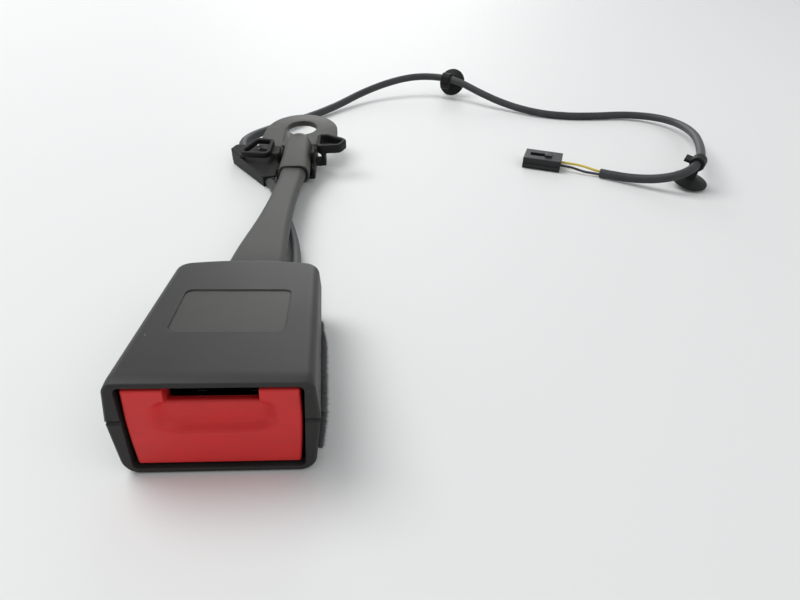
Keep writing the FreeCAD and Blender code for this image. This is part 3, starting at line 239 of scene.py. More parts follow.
# Shader building: an expression on wires adds its Math nodes, node() adds any other.
class Wire:
    def __init__(self, shader, socket):
        self.shader = shader
        self.socket = socket

    def combine(self, operation, first, second):
        return self.shader.node("ShaderNodeMath", {"operation": operation}, {0: first, 1: second})

    def __add__(self, other):
        return self.combine("ADD", self, other)

    def __radd__(self, other):
        return self.combine("ADD", other, self)

    def __sub__(self, other):
        return self.combine("SUBTRACT", self, other)

    def __rsub__(self, other):
        return self.combine("SUBTRACT", other, self)

    def __mul__(self, other):
        return self.combine("MULTIPLY", self, other)

    def __rmul__(self, other):
        return self.combine("MULTIPLY", other, self)

    def __gt__(self, other):
        return self.combine("GREATER_THAN", self, other)

    def power(self, even):
        return self.combine("POWER", self.combine("ABSOLUTE", self, 0.0), even)


class Shader:
    def __init__(self, name):
        self.material = bpy.data.materials.new(name)
        self.material.use_nodes = True
        self.tree = self.material.node_tree
        self.tree.nodes.clear()
        self.place = self.node("ShaderNodeTexCoord", {}, {}, "Object")

    def node(self, kind, settings, sockets, out=0):
        made = self.tree.nodes.new(kind)
        for name, value in settings.items():
            if name == "stops":
                self.setStops(made.color_ramp, value)
            else:
                setattr(made, name, value)
        for name, value in sockets.items():
            if isinstance(value, Wire):
                self.tree.links.new(value.socket, made.inputs[name])
            else:
                made.inputs[name].default_value = value
        return Wire(self, made.outputs[out])

    def setStops(self, ramp, stops):
        while len(ramp.elements) < len(stops):
            ramp.elements.new(0.5)
        for element, (position, value) in zip(ramp.elements, stops):
            element.position = position
            element.color = (value, value, value, 1.0)

    def noise(self, scale, detail=2.0, roughness=0.5, stretch=None):
        place = self.place
        if stretch:
            place = self.node("ShaderNodeMapping", {}, {"Vector": place, "Scale": stretch})
        return self.node("ShaderNodeTexNoise", {}, {"Vector": place, "Scale": scale, "Detail": detail,
                                                    "Roughness": roughness}, "Fac")

    def cells(self, scale):
        return self.node("ShaderNodeTexVoronoi", {}, {"Vector": self.place, "Scale": scale}, "Distance")

    def ramp(self, value, stops):
        return self.node("ShaderNodeValToRGB", {"stops": stops}, {"Fac": value}, "Color")

    def blend(self, share, first, second):
        return self.node("ShaderNodeMix", {"data_type": "RGBA"}, {0: share, 6: first, 7: second}, 2)

    def bump(self, height, distance, normal=None):
        sockets = {"Height": height, "Distance": distance}
        if normal:
            sockets["Normal"] = normal
        return self.node("ShaderNodeBump", {}, sockets, "Normal")

    def softEdges(self, radius):
        return self.node("ShaderNodeBevel", {"samples": 4}, {"Radius": radius}, "Normal")

    def edges(self, rounded):
        # 0 on open faces, towards 1 where the rounded normal leaves the face's own
        own = self.node("ShaderNodeNewGeometry", {}, {}, "Normal")
        match = self.node("ShaderNodeVectorMath", {"operation": "DOT_PRODUCT"}, {0: rounded, 1: own}, "Value")
        return self.ramp(1 - match, [(0.01, 0.0), (0.12, 1.0)])

    def surface(self, sockets):
        shade = self.node("ShaderNodeBsdfPrincipled", {}, sockets, "BSDF")
        output = self.tree.nodes.new("ShaderNodeOutputMaterial")
        self.tree.links.new(shade.socket, output.inputs["Surface"])
        return self.material


def colour(r, g, b):
    return (r, g, b, 1.0)


# The roof's bare recess, smoother than the grained roof round it; here only its colour is set a little
# lighter.
bareLabel = {
    "halfWidthMm": 16.3,
    "middleMm": 38.75,
    "halfLengthMm": 13.6,
    "squareness": 10.0,
    "aboveMm": 20.0,
    "tone": (0.050, 0.048, 0.044),
}


def labelMask(s, area):
    # 1 inside a rectangle with rounded corners on the roof
    split = s.node("ShaderNodeSeparateXYZ", {}, {0: s.place}).socket.node
    x, y, z = (Wire(s, split.outputs[axis]) for axis in ("X", "Y", "Z"))
    across = (x - headOrigin.x) * (1 / (area["halfWidthMm"] * mm))
    along = (y - headOrigin.y - area["middleMm"] * mm) * (1 / (area["halfLengthMm"] * mm))
    across, along = (share.power(area["squareness"]) for share in (across, along))
    return (1 - (across + along > 1.0)) * (z > area["aboveMm"] * mm)


def mouldedPlastic(name, dark, light, roughness, grain, grainDepth=0.00003, edge=0.0005, shine=0.35,
                   specks=0.0, label=None):
    # spark-eroded grain over a slow change of tone, edges painted a little lighter as rubbed wear and partly
    # as a painted highlight, a few specks of dust
    s = Shader(name)
    tone = s.noise(28.0, detail=3.0, roughness=0.6)
    fine = s.noise(grain, detail=2.0, roughness=0.6)
    rounded = s.softEdges(edge)
    base = s.blend(s.ramp(tone, [(0.3, 0.0), (0.7, 1.0)]), colour(*dark), colour(*light))
    # edges painted lighter: partly rubbed wear, partly a painted highlight along the rounded edges
    base = s.blend(0.35 * s.edges(rounded), base, colour(*(min(1.0, v * 1.7 + 0.01) for v in light)))
    if label:
        base = s.blend(0.8 * labelMask(s, label), base, colour(*label["tone"]))
    if specks:
        dust = s.ramp(s.cells(330.0), [(0.035, 1.0), (0.06, 0.0)]) * (s.noise(95.0) > 0.64)
        base = s.blend(specks * dust, base, colour(0.5, 0.5, 0.49))
    return s.surface({"Base Color": base, "Roughness": roughness - 0.08 + 0.16 * tone,
                      "Specular IOR Level": shine, "Normal": s.bump(fine, grainDepth, rounded)})


def plainMetal(name, base, roughness, streak=400.0):
    s = Shader(name)
    lines = s.noise(streak, detail=4.0, roughness=0.6, stretch=(1.0, 0.06, 1.0))
    tint = s.blend(s.ramp(s.noise(60.0, detail=3.0), [(0.35, 0.0), (0.7, 1.0)]), colour(*base),
                   colour(*(v * 0.82 for v in base)))
    return s.surface({"Base Color": tint, "Metallic": 1.0, "Roughness": roughness - 0.1 + 0.22 * lines,
                      "Normal": s.bump(lines, distance=0.00003)})


def paintedSteel(name):
    # dipped paint over pressed steel: soft orange peel, a few dark rubs
    s = Shader(name)
    peel = s.noise(420.0, detail=3.0, roughness=0.55)
    cloud = s.noise(45.0, detail=4.0, roughness=0.6)
    rub = s.ramp(s.noise(160.0, detail=5.0, roughness=0.7), [(0.6, 0.0), (0.68, 1.0)])
    rounded = s.softEdges(radius=0.0006)
    base = s.blend(s.ramp(cloud, [(0.35, 0.0), (0.7, 1.0)]), colour(0.062, 0.061, 0.055),
                   colour(0.089, 0.087, 0.079))
    base = s.blend(0.3 * rub, base, colour(0.05, 0.048, 0.044))
    # edges painted lighter: partly worn paint, partly a painted highlight along the rounded edges
    base = s.blend(0.3 * s.edges(rounded), base, colour(0.2, 0.195, 0.18))
    return s.surface({"Base Color": base, "Roughness": 0.46 + 0.14 * cloud, "Specular IOR Level": 0.28,
                      "Normal": s.bump(peel, distance=0.00008, normal=rounded)})


def redButton(name):
    # satin red moulding with faint smears and a few pale nicks
    s = Shader(name)
    smear = s.noise(70.0, detail=4.0, roughness=0.65, stretch=(1.0, 1.0, 2.2))
    nick = s.ramp(s.cells(240.0), [(0.03, 1.0), (0.06, 0.0)]) * (s.noise(110.0) > 0.63)
    rounded = s.softEdges(radius=0.0006)
    base = s.blend(s.ramp(smear, [(0.3, 0.0), (0.75, 1.0)]), colour(0.74, 0.017, 0.017),
                   colour(0.62, 0.022, 0.022))
    # edges painted a paler red: partly rubbed wear, partly a painted highlight along the rounded edges
    base = s.blend(0.3 * s.edges(rounded), base, colour(0.74, 0.11, 0.10))
    base = s.blend(0.55 * nick, base, colour(0.75, 0.45, 0.42))
    return s.surface({"Base Color": base, "Roughness": 0.36 + 0.2 * smear, "Specular IOR Level": 0.45,
                      "Normal": s.bump(s.noise(1500.0), distance=0.00002, normal=rounded)})


def feltFleece(name):
    s = Shader(name)
    hair = s.noise(1800.0, detail=4.0, roughness=0.75)
    clump = s.noise(350.0, detail=3.0, roughness=0.6)
    base = s.blend(s.ramp(hair, [(0.35, 0.0), (0.75, 1.0)]), colour(0.022, 0.022, 0.024),
                   colour(0.095, 0.093, 0.096))
    return s.surface({"Base Color": base, "Roughness": 0.95, "Specular IOR Level": 0.15, "Sheen Weight": 0.25,
                      "Sheen Roughness": 0.6, "Normal": s.bump(hair + 0.8 * clump, distance=0.0004)})


def leadSheath(name, dark, light, roughness, shine=0.35):
    # extruded sheath: satin, faint smears
    s = Shader(name)
    cloud = s.noise(120.0, detail=4.0, roughness=0.65)
    base = s.blend(s.ramp(cloud, [(0.35, 0.0), (0.7, 1.0)]), colour(*dark), colour(*light))
    return s.surface({"Base Color": base, "Roughness": roughness - 0.08 + 0.18 * cloud,
                      "Specular IOR Level": shine, "Normal": s.bump(s.noise(900.0), distance=0.00004)})


finishes = {
    "casing_plastic": mouldedPlastic("casingPlastic", dark=(0.021, 0.0198, 0.0193),
                                     light=(0.031, 0.0295, 0.0283), roughness=0.46, grain=2600.0, edge=0.0006,
                                     shine=0.22, specks=0.8, label=bareLabel),
    "button_red": redButton("buttonRed"),
    "felt": feltFleece("feltFleece"),
    "zinc_steel": plainMetal("zincSteel", (0.58, 0.58, 0.56), roughness=0.38),
    "hard_steel": plainMetal("hardSteel", (0.5, 0.5, 0.5), roughness=0.32),
    "spring_steel": plainMetal("springSteel", (0.42, 0.42, 0.44), roughness=0.3),
    "white_plastic": mouldedPlastic("whitePlastic", dark=(0.68, 0.68, 0.64), light=(0.75, 0.75, 0.72),
                                    roughness=0.45, grain=1500.0, grainDepth=0.00002),
    "magnet": plainMetal("ferriteMagnet", (0.16, 0.16, 0.17), roughness=0.55),
    "sleeve_plastic": mouldedPlastic("sleevePlastic", dark=(0.056, 0.054, 0.052), light=(0.072, 0.070, 0.066),
                                     roughness=0.55, grain=1500.0, shine=0.27),
    "anchor_paint": paintedSteel("anchorPaint"),
    "holder_plastic": mouldedPlastic("holderPlastic", dark=(0.009, 0.009, 0.0085),
                                     light=(0.017, 0.017, 0.016), roughness=0.5, grain=1800.0, edge=0.0004,
                                     shine=0.14),
    "lead_sheath": leadSheath("leadSheath", dark=(0.027, 0.029, 0.030), light=(0.040, 0.042, 0.043),
                              roughness=0.5),
    "wire_yellow": leadSheath("yellowInsulation", dark=(0.66, 0.5, 0.06), light=(0.74, 0.58, 0.1),
                              roughness=0.4),
    "wire_black": leadSheath("blackInsulation", dark=(0.03, 0.022, 0.04), light=(0.05, 0.038, 0.06),
                             roughness=0.4),
    "connector_plastic": mouldedPlastic("connectorPlastic", dark=(0.010, 0.010, 0.011),
                                        light=(0.017, 0.017, 0.018), roughness=0.42, grain=1600.0,
                                        edge=0.0004),
    "brass_plating": plainMetal("brassPlating", (0.75, 0.6, 0.35), roughness=0.3),
}


# Sleeve over the two rope legs: wide and flat at the head, narrow at the ferrule, with one soft fold.
sleeveSet = {
    "frontMm": (67.2, 12.56),   # distance behind the head's front and height of its middle there
    "rearMm": (187.8, 8.7),
    "wallMm": 1.1,
    "ringPoints": 28,
    "stationsMm": [             # along, middle, half the distance between the legs, half height
        (64.0, 0.0, 7.3, 3.4), (76.5, 0.0, 7.35, 3.4), (80.5, -0.2, 7.75, 3.55), (85.0, -0.25, 7.7, 3.5),
        (88.5, -0.15, 7.4, 3.0), (92.0, 0.1, 7.25, 3.5), (103.0, 0.55, 6.4, 3.45), (114.0, 1.3, 5.35, 3.4),
        (126.0, 2.25, 4.25, 3.4), (138.0, 3.1, 3.45, 3.4), (150.0, 3.9, 2.9, 3.4), (161.0, 4.7, 2.65, 3.4),
        (174.0, 5.65, 2.6, 3.4), (183.0, 6.25, 2.75, 3.7), (187.4, 6.55, 3.0, 4.1), (190.2, 6.75, 3.0, 4.1),
    ],
}


def sleeveHeight(s, along):
    (nearY, nearZ), (farY, farZ) = s["frontMm"], s["rearMm"]
    return nearZ + (farZ - nearZ) * (along - nearY) / (farY - nearY)


def shiftSide(mesh, ring, middle, side, distance):
    # moves the ring's points on one side of its middle
    bpy.ops.mesh.select_all(action="DESELECT")
    for vertex in ring:
        vertex.select = (vertex.co.x - middle) * side > 0
    mesh.select_flush(True)
    bpy.ops.transform.translate(value=(side * distance, 0, 0))


def makeSleeve(s):
    deselectAll()
    along, middle, halfPitch, halfHeight = s["stationsMm"][0]
    place = headOrigin + Vector((middle, along, sleeveHeight(s, along))) * mm
    bpy.ops.mesh.primitive_circle_add(vertices=s["ringPoints"], radius=halfHeight * mm, location=place,
                                      rotation=(math.radians(90), math.pi / s["ringPoints"], 0))
    sleeve = bpy.context.object
    sleeve.name = "stalkSleeveSkin"
    bpy.ops.object.transform_apply(location=True, rotation=True, scale=True)
    bpy.ops.object.mode_set(mode="EDIT")
    mesh = bmesh.from_edit_mesh(sleeve.data)
    ring = list(mesh.verts)
    for side in (1, -1):
        shiftSide(mesh, ring, place.x, side, halfPitch * mm)
    for nextAlong, nextMiddle, nextPitch, nextHeight in s["stationsMm"][1:]:
        bpy.ops.mesh.select_all(action="DESELECT")
        for vertex in ring:
            vertex.select = True
        mesh.select_flush(True)
        rise = sleeveHeight(s, nextAlong) - sleeveHeight(s, along)
        step = Vector((nextMiddle - middle, nextAlong - along, rise))
        bpy.ops.mesh.extrude_region_move(TRANSFORM_OT_translate={"value": step * mm})
        place += step * mm
        bpy.ops.transform.resize(value=(1, 1, nextHeight / halfHeight), center_override=place)
        mesh = bmesh.from_edit_mesh(sleeve.data)
        ring = [vertex for vertex in mesh.verts if vertex.select]
        for side in (1, -1):
            shiftSide(mesh, ring, place.x, side, (nextPitch - halfPitch) * mm)
        along, middle, halfPitch, halfHeight = nextAlong, nextMiddle, nextPitch, nextHeight
    bpy.ops.mesh.select_all(action="SELECT")
    bpy.ops.mesh.normals_make_consistent(inside=False)
    bpy.ops.object.mode_set(mode="OBJECT")
    wall = sleeve.modifiers.new("wall", "SOLIDIFY")
    wall.thickness = s["wallMm"] * mm
    wall.offset = -1.0
    smooth = sleeve.modifiers.new("smooth", "SUBSURF")
    smooth.levels = smooth.render_levels = 2
    applyModifiers("wall", "smooth")
    bpy.ops.object.shade_smooth()
    return sleeve


sleeve = makeSleeve(sleeveSet)
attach(sleeve, "root")
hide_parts("stalk_sleeve")
print("sleeve made")


# Felt pad on the head's right side: a fleece with a nubbly face and loose hairs round its edges.
feltSet = {
    "voxelMm": 0.5,
    "nubbleMm": 1.3,
    "reliefMm": 0.45,
    "hairs": 3600,
    "hairLengthMm": (0.5, 1.5),
    "hairThickMm": 0.035,
    "hairRootMm": 0.1,          # how deep it starts in the fleece
    "hairLean": 0.8,
    "hairBend": 0.9,
    "hairKnee": 0.55,           # where along its length it bends
    "hairKneeThick": 0.7,
    "hairFacesFrom": -0.2,      # faces that look further left than this carry none
    "seed": 11,
    "taperFromMm": 36.0,        # behind here the pad thins out towards its slanting rear edge
    "rearLowMm": 63.0,
    "rearSlope": 1.25,          # how much sooner it ends for each millimetre higher
    "thinTo": 0.3,
}


def makeFelt(s):
    pad = copyOfNode("felt_pad", "feltFleecePad")
    addRemesh(pad, s["voxelMm"])
    nubble = bpy.data.textures.new("nubble", "CLOUDS")
    nubble.noise_scale = s["nubbleMm"] * mm
    nubble.noise_depth = 3
    relief = pad.modifiers.new("relief", "DISPLACE")
    relief.texture = nubble
    relief.texture_coords = "LOCAL"
    relief.strength = s["reliefMm"] * mm
    relief.mid_level = 0.45
    applyModifiers("remesh", "relief")
    bpy.ops.object.shade_smooth()
    return pad


def taperFelt(s, pad):
    # behind its start the pad's length is pressed together and its thickness fades towards the head's sides
    trees = [BVHTree.FromPolygons([v.co for v in nodes[name].data.vertices],
                                  [p.vertices for p in nodes[name].data.polygons])
             for name in ("upper_cover", "lower_cover")]
    start = s["taperFromMm"]
    padLow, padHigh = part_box("felt_pad")
    padRear = (padHigh.y - headOrigin.y) / mm
    for vertex in pad.data.vertices:
        along = (vertex.co.y - headOrigin.y) / mm
        if along <= start:
            continue
        rear = s["rearLowMm"] - (vertex.co.z / mm - padLow.z / mm) * s["rearSlope"]
        share = (along - start) / (padRear - start)
        vertex.co.y = headOrigin.y + (start + share * (rear - start)) * mm
        seat = min((tree.find_nearest(vertex.co) for tree in trees), key=lambda hit: hit[3])[0]
        vertex.co = seat + (vertex.co - seat) * (1.0 - (1.0 - s["thinTo"]) * smoothStep(share))
    pad.data.update()


def makeHairs(s, pad):
    # each hair is a thin three-sided spike, bent once, standing out of the fleece
    chance = random.Random(s["seed"])
    faces = [face for face in pad.data.polygons if face.normal.x > s["hairFacesFrom"]]
    lean, bend, kneeShare = s["hairLean"], s["hairBend"], s["hairKnee"]
    points = []
    sides = []
    for face in chance.choices(faces, k=s["hairs"]):
        root = pad.data.vertices[face.vertices[0]].co - face.normal * s["hairRootMm"] * mm
        way = (face.normal + Vector([chance.uniform(-lean, lean) for _ in range(3)])).normalized()
        bent = (way + Vector([chance.uniform(-bend, bend) for _ in range(3)])).normalized()
        length = chance.uniform(*s["hairLengthMm"]) * mm
        across = way.orthogonal().normalized() * s["hairThickMm"] * mm
        over = way.cross(across)
        knee = root + way * length * kneeShare
        first = len(points)
        for centre, share in ((root, 1.0), (knee, s["hairKneeThick"])):
            for turn in range(3):
                angle = turn * math.tau / 3
                points.append(centre + (across * math.cos(angle) + over * math.sin(angle)) * share)
        points.append(knee + bent * length * (1.0 - kneeShare))
        for turn in range(3):
            after = (turn + 1) % 3
            sides.append((first + turn, first + after, first + 3 + after, first + 3 + turn))
            sides.append((first + 3 + turn, first + 3 + after, first + 6))
        sides.append((first + 2, first + 1, first))
    mesh = bpy.data.meshes.new("feltHairs")
    mesh.from_pydata(points, [], sides)
    hairs = bpy.data.objects.new("feltHairs", mesh)
    bpy.context.scene.collection.objects.link(hairs)
    return hairs


felt = makeFelt(feltSet)
taperFelt(feltSet, felt)
feltHairs = makeHairs(feltSet, felt)
for piece in (felt, feltHairs):
    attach(piece, "root")
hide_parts("felt_pad")
print("felt made, faces", len(felt.data.polygons))


# Springs of the button and the ejector: the solids' coils, merged and shaded smooth.
springSet = [
    {"node": "button_springs", "name": "buttonSpringCoils", "joint": "button_press", "travelMm": 5.25},
    {"node": "ejector_springs", "name": "ejectorSpringCoils", "joint": "ejector_slide", "travelMm": 10.1},
]


def makeSprings(s):
    springs = copyOfNode(s["node"], s["name"])
    bpy.ops.object.shade_smooth()
    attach(springs, "root")
    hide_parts(s["node"])
    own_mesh(springs)
    return springs


buttonSprings, ejectorSprings = (makeSprings(s) for s in springSet)
print("springs made")


# Anchor plate: the solid with a rounder, narrower nose on the ferrule and the broad left shoulder.
anchorSet = {
    "placeMm": (6.8, 187.8, 8.7),
    "yawRollPitchDeg": (-1.6, -2.6, 7.6),
    "plateMm": (-4.2, -1.2),            # underside and top, from the ferrule's middle
    "shoulderLowMm": (-22.6, 30.5),     # across and along, from the ferrule's mouth
    "shoulderHighMm": (-9.5, 56.0),
    "shoulderFarMm": -19.8,             # its left corner at the far end
    "shoulderRoundMm": 5.5,
    "ferruleHalfMm": 7.8,
    "noseFromMm": 24.0,
    "noseToMm": 42.0,
    "noseEndMm": 45.0,
    "noseDropMm": 3.4,
    "noseNarrow": 0.24,
    "overPlateMm": 0.1,                 # what lies lower belongs to the plate and stays
    "pickMm": 1.0,                      # how far from a side its corners are looked for
    "smoothDeg": 32.0,
}


def anchorFrame(s):
    yaw, roll, pitch = (math.radians(angle) for angle in s["yawRollPitchDeg"])
    turn = Matrix.Rotation(yaw, 4, "Z") @ Matrix.Rotation(roll, 4, "Y") @ Matrix.Rotation(pitch, 4, "X")
    return Matrix.Translation(headOrigin + Vector(s["placeMm"]) * mm) @ turn


def makeShoulder(s):
    (lowX, lowY), (highX, highY) = s["shoulderLowMm"], s["shoulderHighMm"]
    lowZ, highZ = s["plateMm"]
    leftSide = (lowX + s["pickMm"]) * mm
    farEnd = (highY - s["pickMm"]) * mm
    deselectAll()
    bpy.ops.mesh.primitive_cube_add(size=1.0, location=(0, 0, 0))
    shoulder = bpy.context.object
    shoulder.scale = Vector((highX - lowX, highY - lowY, highZ - lowZ)) * mm
    shoulder.location = Vector((highX + lowX, highY + lowY, highZ + lowZ)) * mm / 2
    bpy.ops.object.transform_apply(location=True, rotation=True, scale=True)
    bpy.ops.object.mode_set(mode="EDIT")
    bpy.ops.mesh.select_mode(type="EDGE")
    bpy.ops.mesh.select_all(action="DESELECT")
    mesh = bmesh.from_edit_mesh(shoulder.data)
    for vertex in mesh.verts:
        if vertex.co.x < leftSide and vertex.co.y > farEnd:
            vertex.co.x = s["shoulderFarMm"] * mm
    for edge in mesh.edges:
        first, last = edge.verts
        upright = abs(first.co.z - last.co.z) > s["pickMm"] * mm
        edge.select = upright and first.co.x < leftSide
    bmesh.update_edit_mesh(shoulder.data)
    bpy.ops.mesh.bevel(offset=s["shoulderRoundMm"] * mm, segments=8)
    bpy.ops.object.mode_set(mode="OBJECT")
    shoulder.matrix_world = anchorFrame(s)
    bpy.ops.object.transform_apply(location=True, rotation=True, scale=True)
    return shoulder


def makeAnchor(s):
    anchor = copyOfNode("anchor_plate", "anchorPlateSkin")
    workWith(makeShoulder(s), anchor, "UNION")
    toWorld = anchorFrame(s)
    toAnchor = toWorld.inverted()
    plateTop = (s["plateMm"][1] + s["overPlateMm"]) * mm
    for vertex in anchor.data.vertices:
        place = toAnchor @ vertex.co
        share = smoothStep((place.y / mm - s["noseFromMm"]) / (s["noseToMm"] - s["noseFromMm"]))
        if share == 0.0 or place.z < plateTop or place.y / mm > s["noseEndMm"]:
            continue
        sideways = min(1.0, abs(place.x) / (s["ferruleHalfMm"] * mm))
        place.z = max(plateTop, place.z - s["noseDropMm"] * mm * sideways ** 2 * share)
        place.x *= 1.0 - s["noseNarrow"] * share
        vertex.co = toWorld @ place
    makeActive(anchor)
    bpy.ops.object.shade_smooth_by_angle(angle=math.radians(s["smoothDeg"]))
    return anchor


anchor = makeAnchor(anchorSet)
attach(anchor, "root")
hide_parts("anchor_plate")
print("anchor made, faces", len(anchor.data.polygons))


# Cable holder round the ferrule: the moulding's edges are well rounded.
holderSet = {
    "voxelMm": 0.42,
    "softenTimes": 7,
    "softenShare": 0.5,
}


def makeHolder(s):
    holder = copyOfNode("cable_holder", "cableHolderSkin")
    addRemesh(holder, s["voxelMm"])
    soften = holder.modifiers.new("soften", "SMOOTH")
    soften.factor = s["softenShare"]
    soften.iterations = s["softenTimes"]
    applyModifiers("remesh", "soften")
    bpy.ops.object.shade_smooth()
    return holder


holder = makeHolder(holderSet)
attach(holder, "root")
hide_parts("cable_holder")
print("holder made, faces", len(holder.data.polygons))


# Press button: a dish that leads the tongue up into a deep slot, with a ledge below it.
buttonSet = {
    "facePlaceMm": (-0.1, 4.3),     # the front block's face and back
    "outlineMm": [(2.8, 21.7), (18.8, 22.6), (28.6, 22.4)],   # height, half width
    "edgeMm": 0.75,
    "columns": 130,
    "rows": 80,
    "crowding": 1.325,              # how much closer the rows and columns are near the edges
    "dishHalfMm": 16.9,
    "dishLowMm": 13.7,
    "dishHighMm": 25.8,
    "dishCornerMm": 4.2,
    "wallMm": 2.3,                  # width of the ledge; the side walls are wider by wallStretch
    "wallStretch": 2.1,
    "dishDeepMm": 2.35,
    "slotHalfMm": 12.05,
    "slotFloorMm": 23.1,
    "slotRimMm": 1.0,
    "slotRimSteps": 6,
    "slotRearMm": 17.3,             # the slot's floor further back
    "slotEndMm": 12.0,
    "overlapMm": 0.1,
    "pastMm": 3.0,                  # how far a cutter reaches past the front block
    "wideMm": 40.0,                 # and past everything, where nothing is in its way
    "smoothDeg": 38.0,
}


def roundedInside(x, z, half, low, high, corner):
    # distance inside a box with rounded corners, negative outside
    sideways = abs(x) - (half - corner)
    upward = abs(z - (low + high) / 2) - ((high - low) / 2 - corner)
    return corner - math.hypot(max(sideways, 0.0), max(upward, 0.0)) - min(max(sideways, upward), 0.0)


def halfWidthAt(s, height):
    (lowZ, lowHalf), (midZ, midHalf), (topZ, topHalf) = s["outlineMm"]
    if height < midZ:
        return lowHalf + (midHalf - lowHalf) * math.sin((height - lowZ) / (midZ - lowZ) * math.pi / 2)
    return midHalf + (topHalf - midHalf) * smoothStep((height - midZ) / (topZ - midZ))


def crowded(s, share):
    # closer spacing towards both ends of 0 to 1
    return 0.5 + 0.5 * math.sin((2.0 * share - 1.0) * s["crowding"]) / math.sin(s["crowding"])


def makeButtonFront(s):
    face, back = s["facePlaceMm"]
    low, high = s["outlineMm"][0][0], s["outlineMm"][-1][0]
    middle = (low + high) / 2
    edge = s["edgeMm"]
    deselectAll()
    bpy.ops.mesh.primitive_grid_add(x_subdivisions=s["columns"], y_subdivisions=s["rows"], size=1.0,
                                    location=(0, 0, 0), rotation=(math.radians(90), 0, 0))
    front = bpy.context.object
    front.name = "pressButtonSkin"
    bpy.ops.object.transform_apply(location=True, rotation=True, scale=True)
    for vertex in front.data.vertices:
        z = low + crowded(s, vertex.co.z + 0.5) * (high - low)
        half = halfWidthAt(s, z)
        x = (2.0 * crowded(s, vertex.co.x + 0.5) - 1.0) * half
        inside = roundedInside(x, z, half, low, high, edge)
        if inside < 0.0:      # the outline's corners are rounded off
            centre = Vector((math.copysign(half - edge, x),
                             middle + math.copysign((high - low) / 2 - edge, z - middle)))
            x, z = centre + (Vector((x, z)) - centre).normalized() * edge
            inside = 0.0
        y = face + edge - math.sqrt(max(0.0, edge ** 2 - max(0.0, edge - inside) ** 2))
        dish = roundedInside(x / s["wallStretch"], z, s["dishHalfMm"] / s["wallStretch"], s["dishLowMm"],
                             s["dishHighMm"], s["dishCornerMm"])
        y += s["dishDeepMm"] * smoothStep(dish / s["wallMm"])
        vertex.co = headOrigin + Vector((x, y, z)) * mm
    bpy.ops.object.mode_set(mode="EDIT")
    bpy.ops.mesh.select_all(action="SELECT")
    bpy.ops.mesh.region_to_loop()
    bpy.ops.mesh.extrude_edges_move(TRANSFORM_OT_translate={"value": (0, (back - face) * mm, 0)})
    backPlace = headOrigin.y + back * mm
    mesh = bmesh.from_edit_mesh(front.data)
    for vertex in mesh.verts:
        if vertex.select:
            vertex.co.y = backPlace
    bpy.ops.mesh.edge_face_add()
    bpy.ops.mesh.select_all(action="SELECT")
    bpy.ops.mesh.normals_make_consistent(inside=False)
    bpy.ops.object.mode_set(mode="OBJECT")
    return front


def makeProfileBlock(name, profileMm, lowX, highX):
    # a block with this outline in y and z, from one x to another, measured from the head's origin
    points = [headOrigin + Vector((lowX, y, z)) * mm for y, z in profileMm]
    mesh = bpy.data.meshes.new(name)
    mesh.from_pydata(points, [], [tuple(range(len(points)))])
    block = bpy.data.objects.new(name, mesh)
    bpy.context.scene.collection.objects.link(block)
    makeActive(block)
    bpy.ops.object.mode_set(mode="EDIT")
    bpy.ops.mesh.select_all(action="SELECT")
    bpy.ops.mesh.extrude_region_move(TRANSFORM_OT_translate={"value": ((highX - lowX) * mm, 0, 0)})
    bpy.ops.mesh.select_all(action="SELECT")
    bpy.ops.mesh.normals_make_consistent(inside=False)
    bpy.ops.object.mode_set(mode="OBJECT")
    return block


def makeButton(s):
    face, back = s["facePlaceMm"]
    floor, radius, half = s["slotFloorMm"], s["slotRimMm"], s["slotHalfMm"]
    past, wide = s["pastMm"], s["wideMm"]
    front = makeButtonFront(s)
    # the slot's floor, rounded down into the dish
    rim = face + s["dishDeepMm"] + radius
    turns = [math.pi / 2 * step / s["slotRimSteps"] for step in range(1, s["slotRimSteps"] + 1)]
    mouth = [(back + past, floor), (rim, floor)]
    mouth += [(rim - radius * math.sin(turn), floor - radius + radius * math.cos(turn)) for turn in turns]
    mouth += [(face - past, floor - radius), (face - past, wide), (back + past, wide)]
    workWith(makeProfileBlock("slotMouth", mouth, -half, half), front, "DIFFERENCE")

    rear = copyOfNode("press_button", "buttonRear")
    joint = back - s["overlapMm"]
    ahead = [(-wide, -wide), (joint, -wide), (joint, wide), (-wide, wide)]
    workWith(makeProfileBlock("frontPart", ahead, -wide, wide), rear, "DIFFERENCE")
    slot = [(0, s["slotRearMm"]), (s["slotEndMm"], s["slotRearMm"]), (s["slotEndMm"], wide), (0, wide)]
    workWith(makeProfileBlock("slotRear", slot, -half, half), rear, "DIFFERENCE")
    deselectAll()
    rear.select_set(True)
    front.select_set(True)
    bpy.context.view_layer.objects.active = front
    bpy.ops.object.join()
    bpy.ops.object.shade_smooth_by_angle(angle=math.radians(s["smoothDeg"]))
    return front


button = makeButton(buttonSet)
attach(button, "button")
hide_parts("press_button")
print("button made, faces", len(button.data.polygons))

slotOfNode = {row["node"]: row["material_slot"] for row in frame["record"]["subparts"]}


def dress(piece, slotName):
    piece.data.materials.clear()
    piece.data.materials.append(finishes[slotName])


for nodeName, nodeObject in nodes.items():
    dress(nodeObject, slotOfNode[nodeName])
for piece, slotName in ((heldLead, "lead_sheath"), (freeLead, "lead_sheath"), (yellowWire, "wire_yellow"),
                        (blackWire, "wire_black"), (sleeve, "sleeve_plastic"), (felt, "felt"),
                        (feltHairs, "felt"), (holder, "holder_plastic"), (button, "button_red"),
                        (anchor, "anchor_paint"), (buttonSprings, "spring_steel"),
                        (ejectorSprings, "spring_steel")):
    dress(piece, slotName)
print("finishes made")


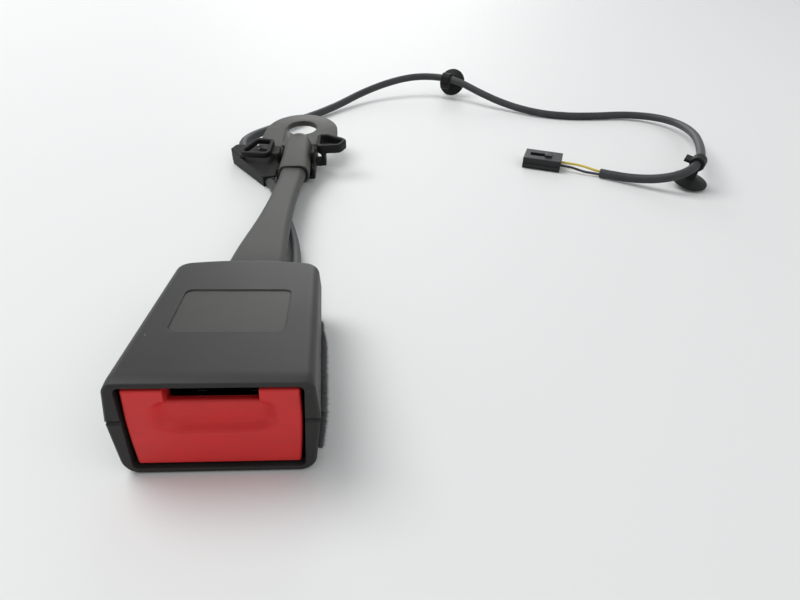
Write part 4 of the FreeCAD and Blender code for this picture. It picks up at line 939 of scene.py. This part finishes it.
# Studio: a pale table, one large soft lamp from the upper left, a weak fill and a low lamp from behind.
studioSet = {
    "floorSize": 6.0,
    "floorColour": (0.80, 0.81, 0.80, 1.0),
    "worldColour": (0.80, 0.82, 0.84, 1.0),
    "worldStrength": 0.53,
    "backdropStrength": 0.88,
    "aim": (0.05, 0.05, 0.0),
    "lamps": [
        {"name": "keyLamp", "place": (-0.9, 0.5, 1.5), "size": 1.3, "watts": 21.0},
        {"name": "fillLamp", "place": (0.9, -0.9, 1.3), "size": 1.6, "watts": 4.0},
        {"name": "rearLamp", "place": (0.1, 1.7, 0.5), "size": 0.9, "watts": 5.0},
    ],
}


def makeStudio(s):
    bpy.ops.mesh.primitive_plane_add(size=s["floorSize"], location=(0, 0, 0))
    floor = bpy.context.object
    floor.name = "tableTop"
    shade = Shader("tableWhite")
    floor.data.materials.append(shade.surface({"Base Color": s["floorColour"], "Roughness": 0.6}))
    world = bpy.data.worlds.new("paleRoom")
    bpy.context.scene.world = world
    world.use_nodes = True
    background = world.node_tree.nodes["Background"]
    background.inputs["Color"].default_value = s["worldColour"]
    # the room looks paler than it lights, to the camera and in metal and gloss
    rays = world.node_tree.nodes.new("ShaderNodeLightPath")
    seen = rays.outputs["Is Camera Ray"]
    for kind in ("Is Glossy Ray", "Is Transmission Ray"):
        either = world.node_tree.nodes.new("ShaderNodeMath")
        either.operation = "MAXIMUM"
        world.node_tree.links.new(seen, either.inputs[0])
        world.node_tree.links.new(rays.outputs[kind], either.inputs[1])
        seen = either.outputs[0]
    strength = world.node_tree.nodes.new("ShaderNodeMath")
    strength.operation = "MULTIPLY_ADD"
    strength.inputs[1].default_value = s["backdropStrength"] - s["worldStrength"]
    strength.inputs[2].default_value = s["worldStrength"]
    world.node_tree.links.new(seen, strength.inputs[0])
    world.node_tree.links.new(strength.outputs[0], background.inputs["Strength"])
    for lamp in s["lamps"]:
        light = bpy.data.lights.new(lamp["name"], "AREA")
        light.shape = "DISK"
        light.size = lamp["size"]
        light.energy = lamp["watts"]
        stand = bpy.data.objects.new(lamp["name"], light)
        bpy.context.scene.collection.objects.link(stand)
        place = Vector(lamp["place"])
        turn = (Vector(s["aim"]) - place).to_track_quat("-Z", "Y").to_matrix().to_4x4()
        stand.matrix_world = Matrix.Translation(place) @ turn


makeStudio(studioSet)
bpy.context.scene.view_settings.view_transform = "Standard"
print("studio set")
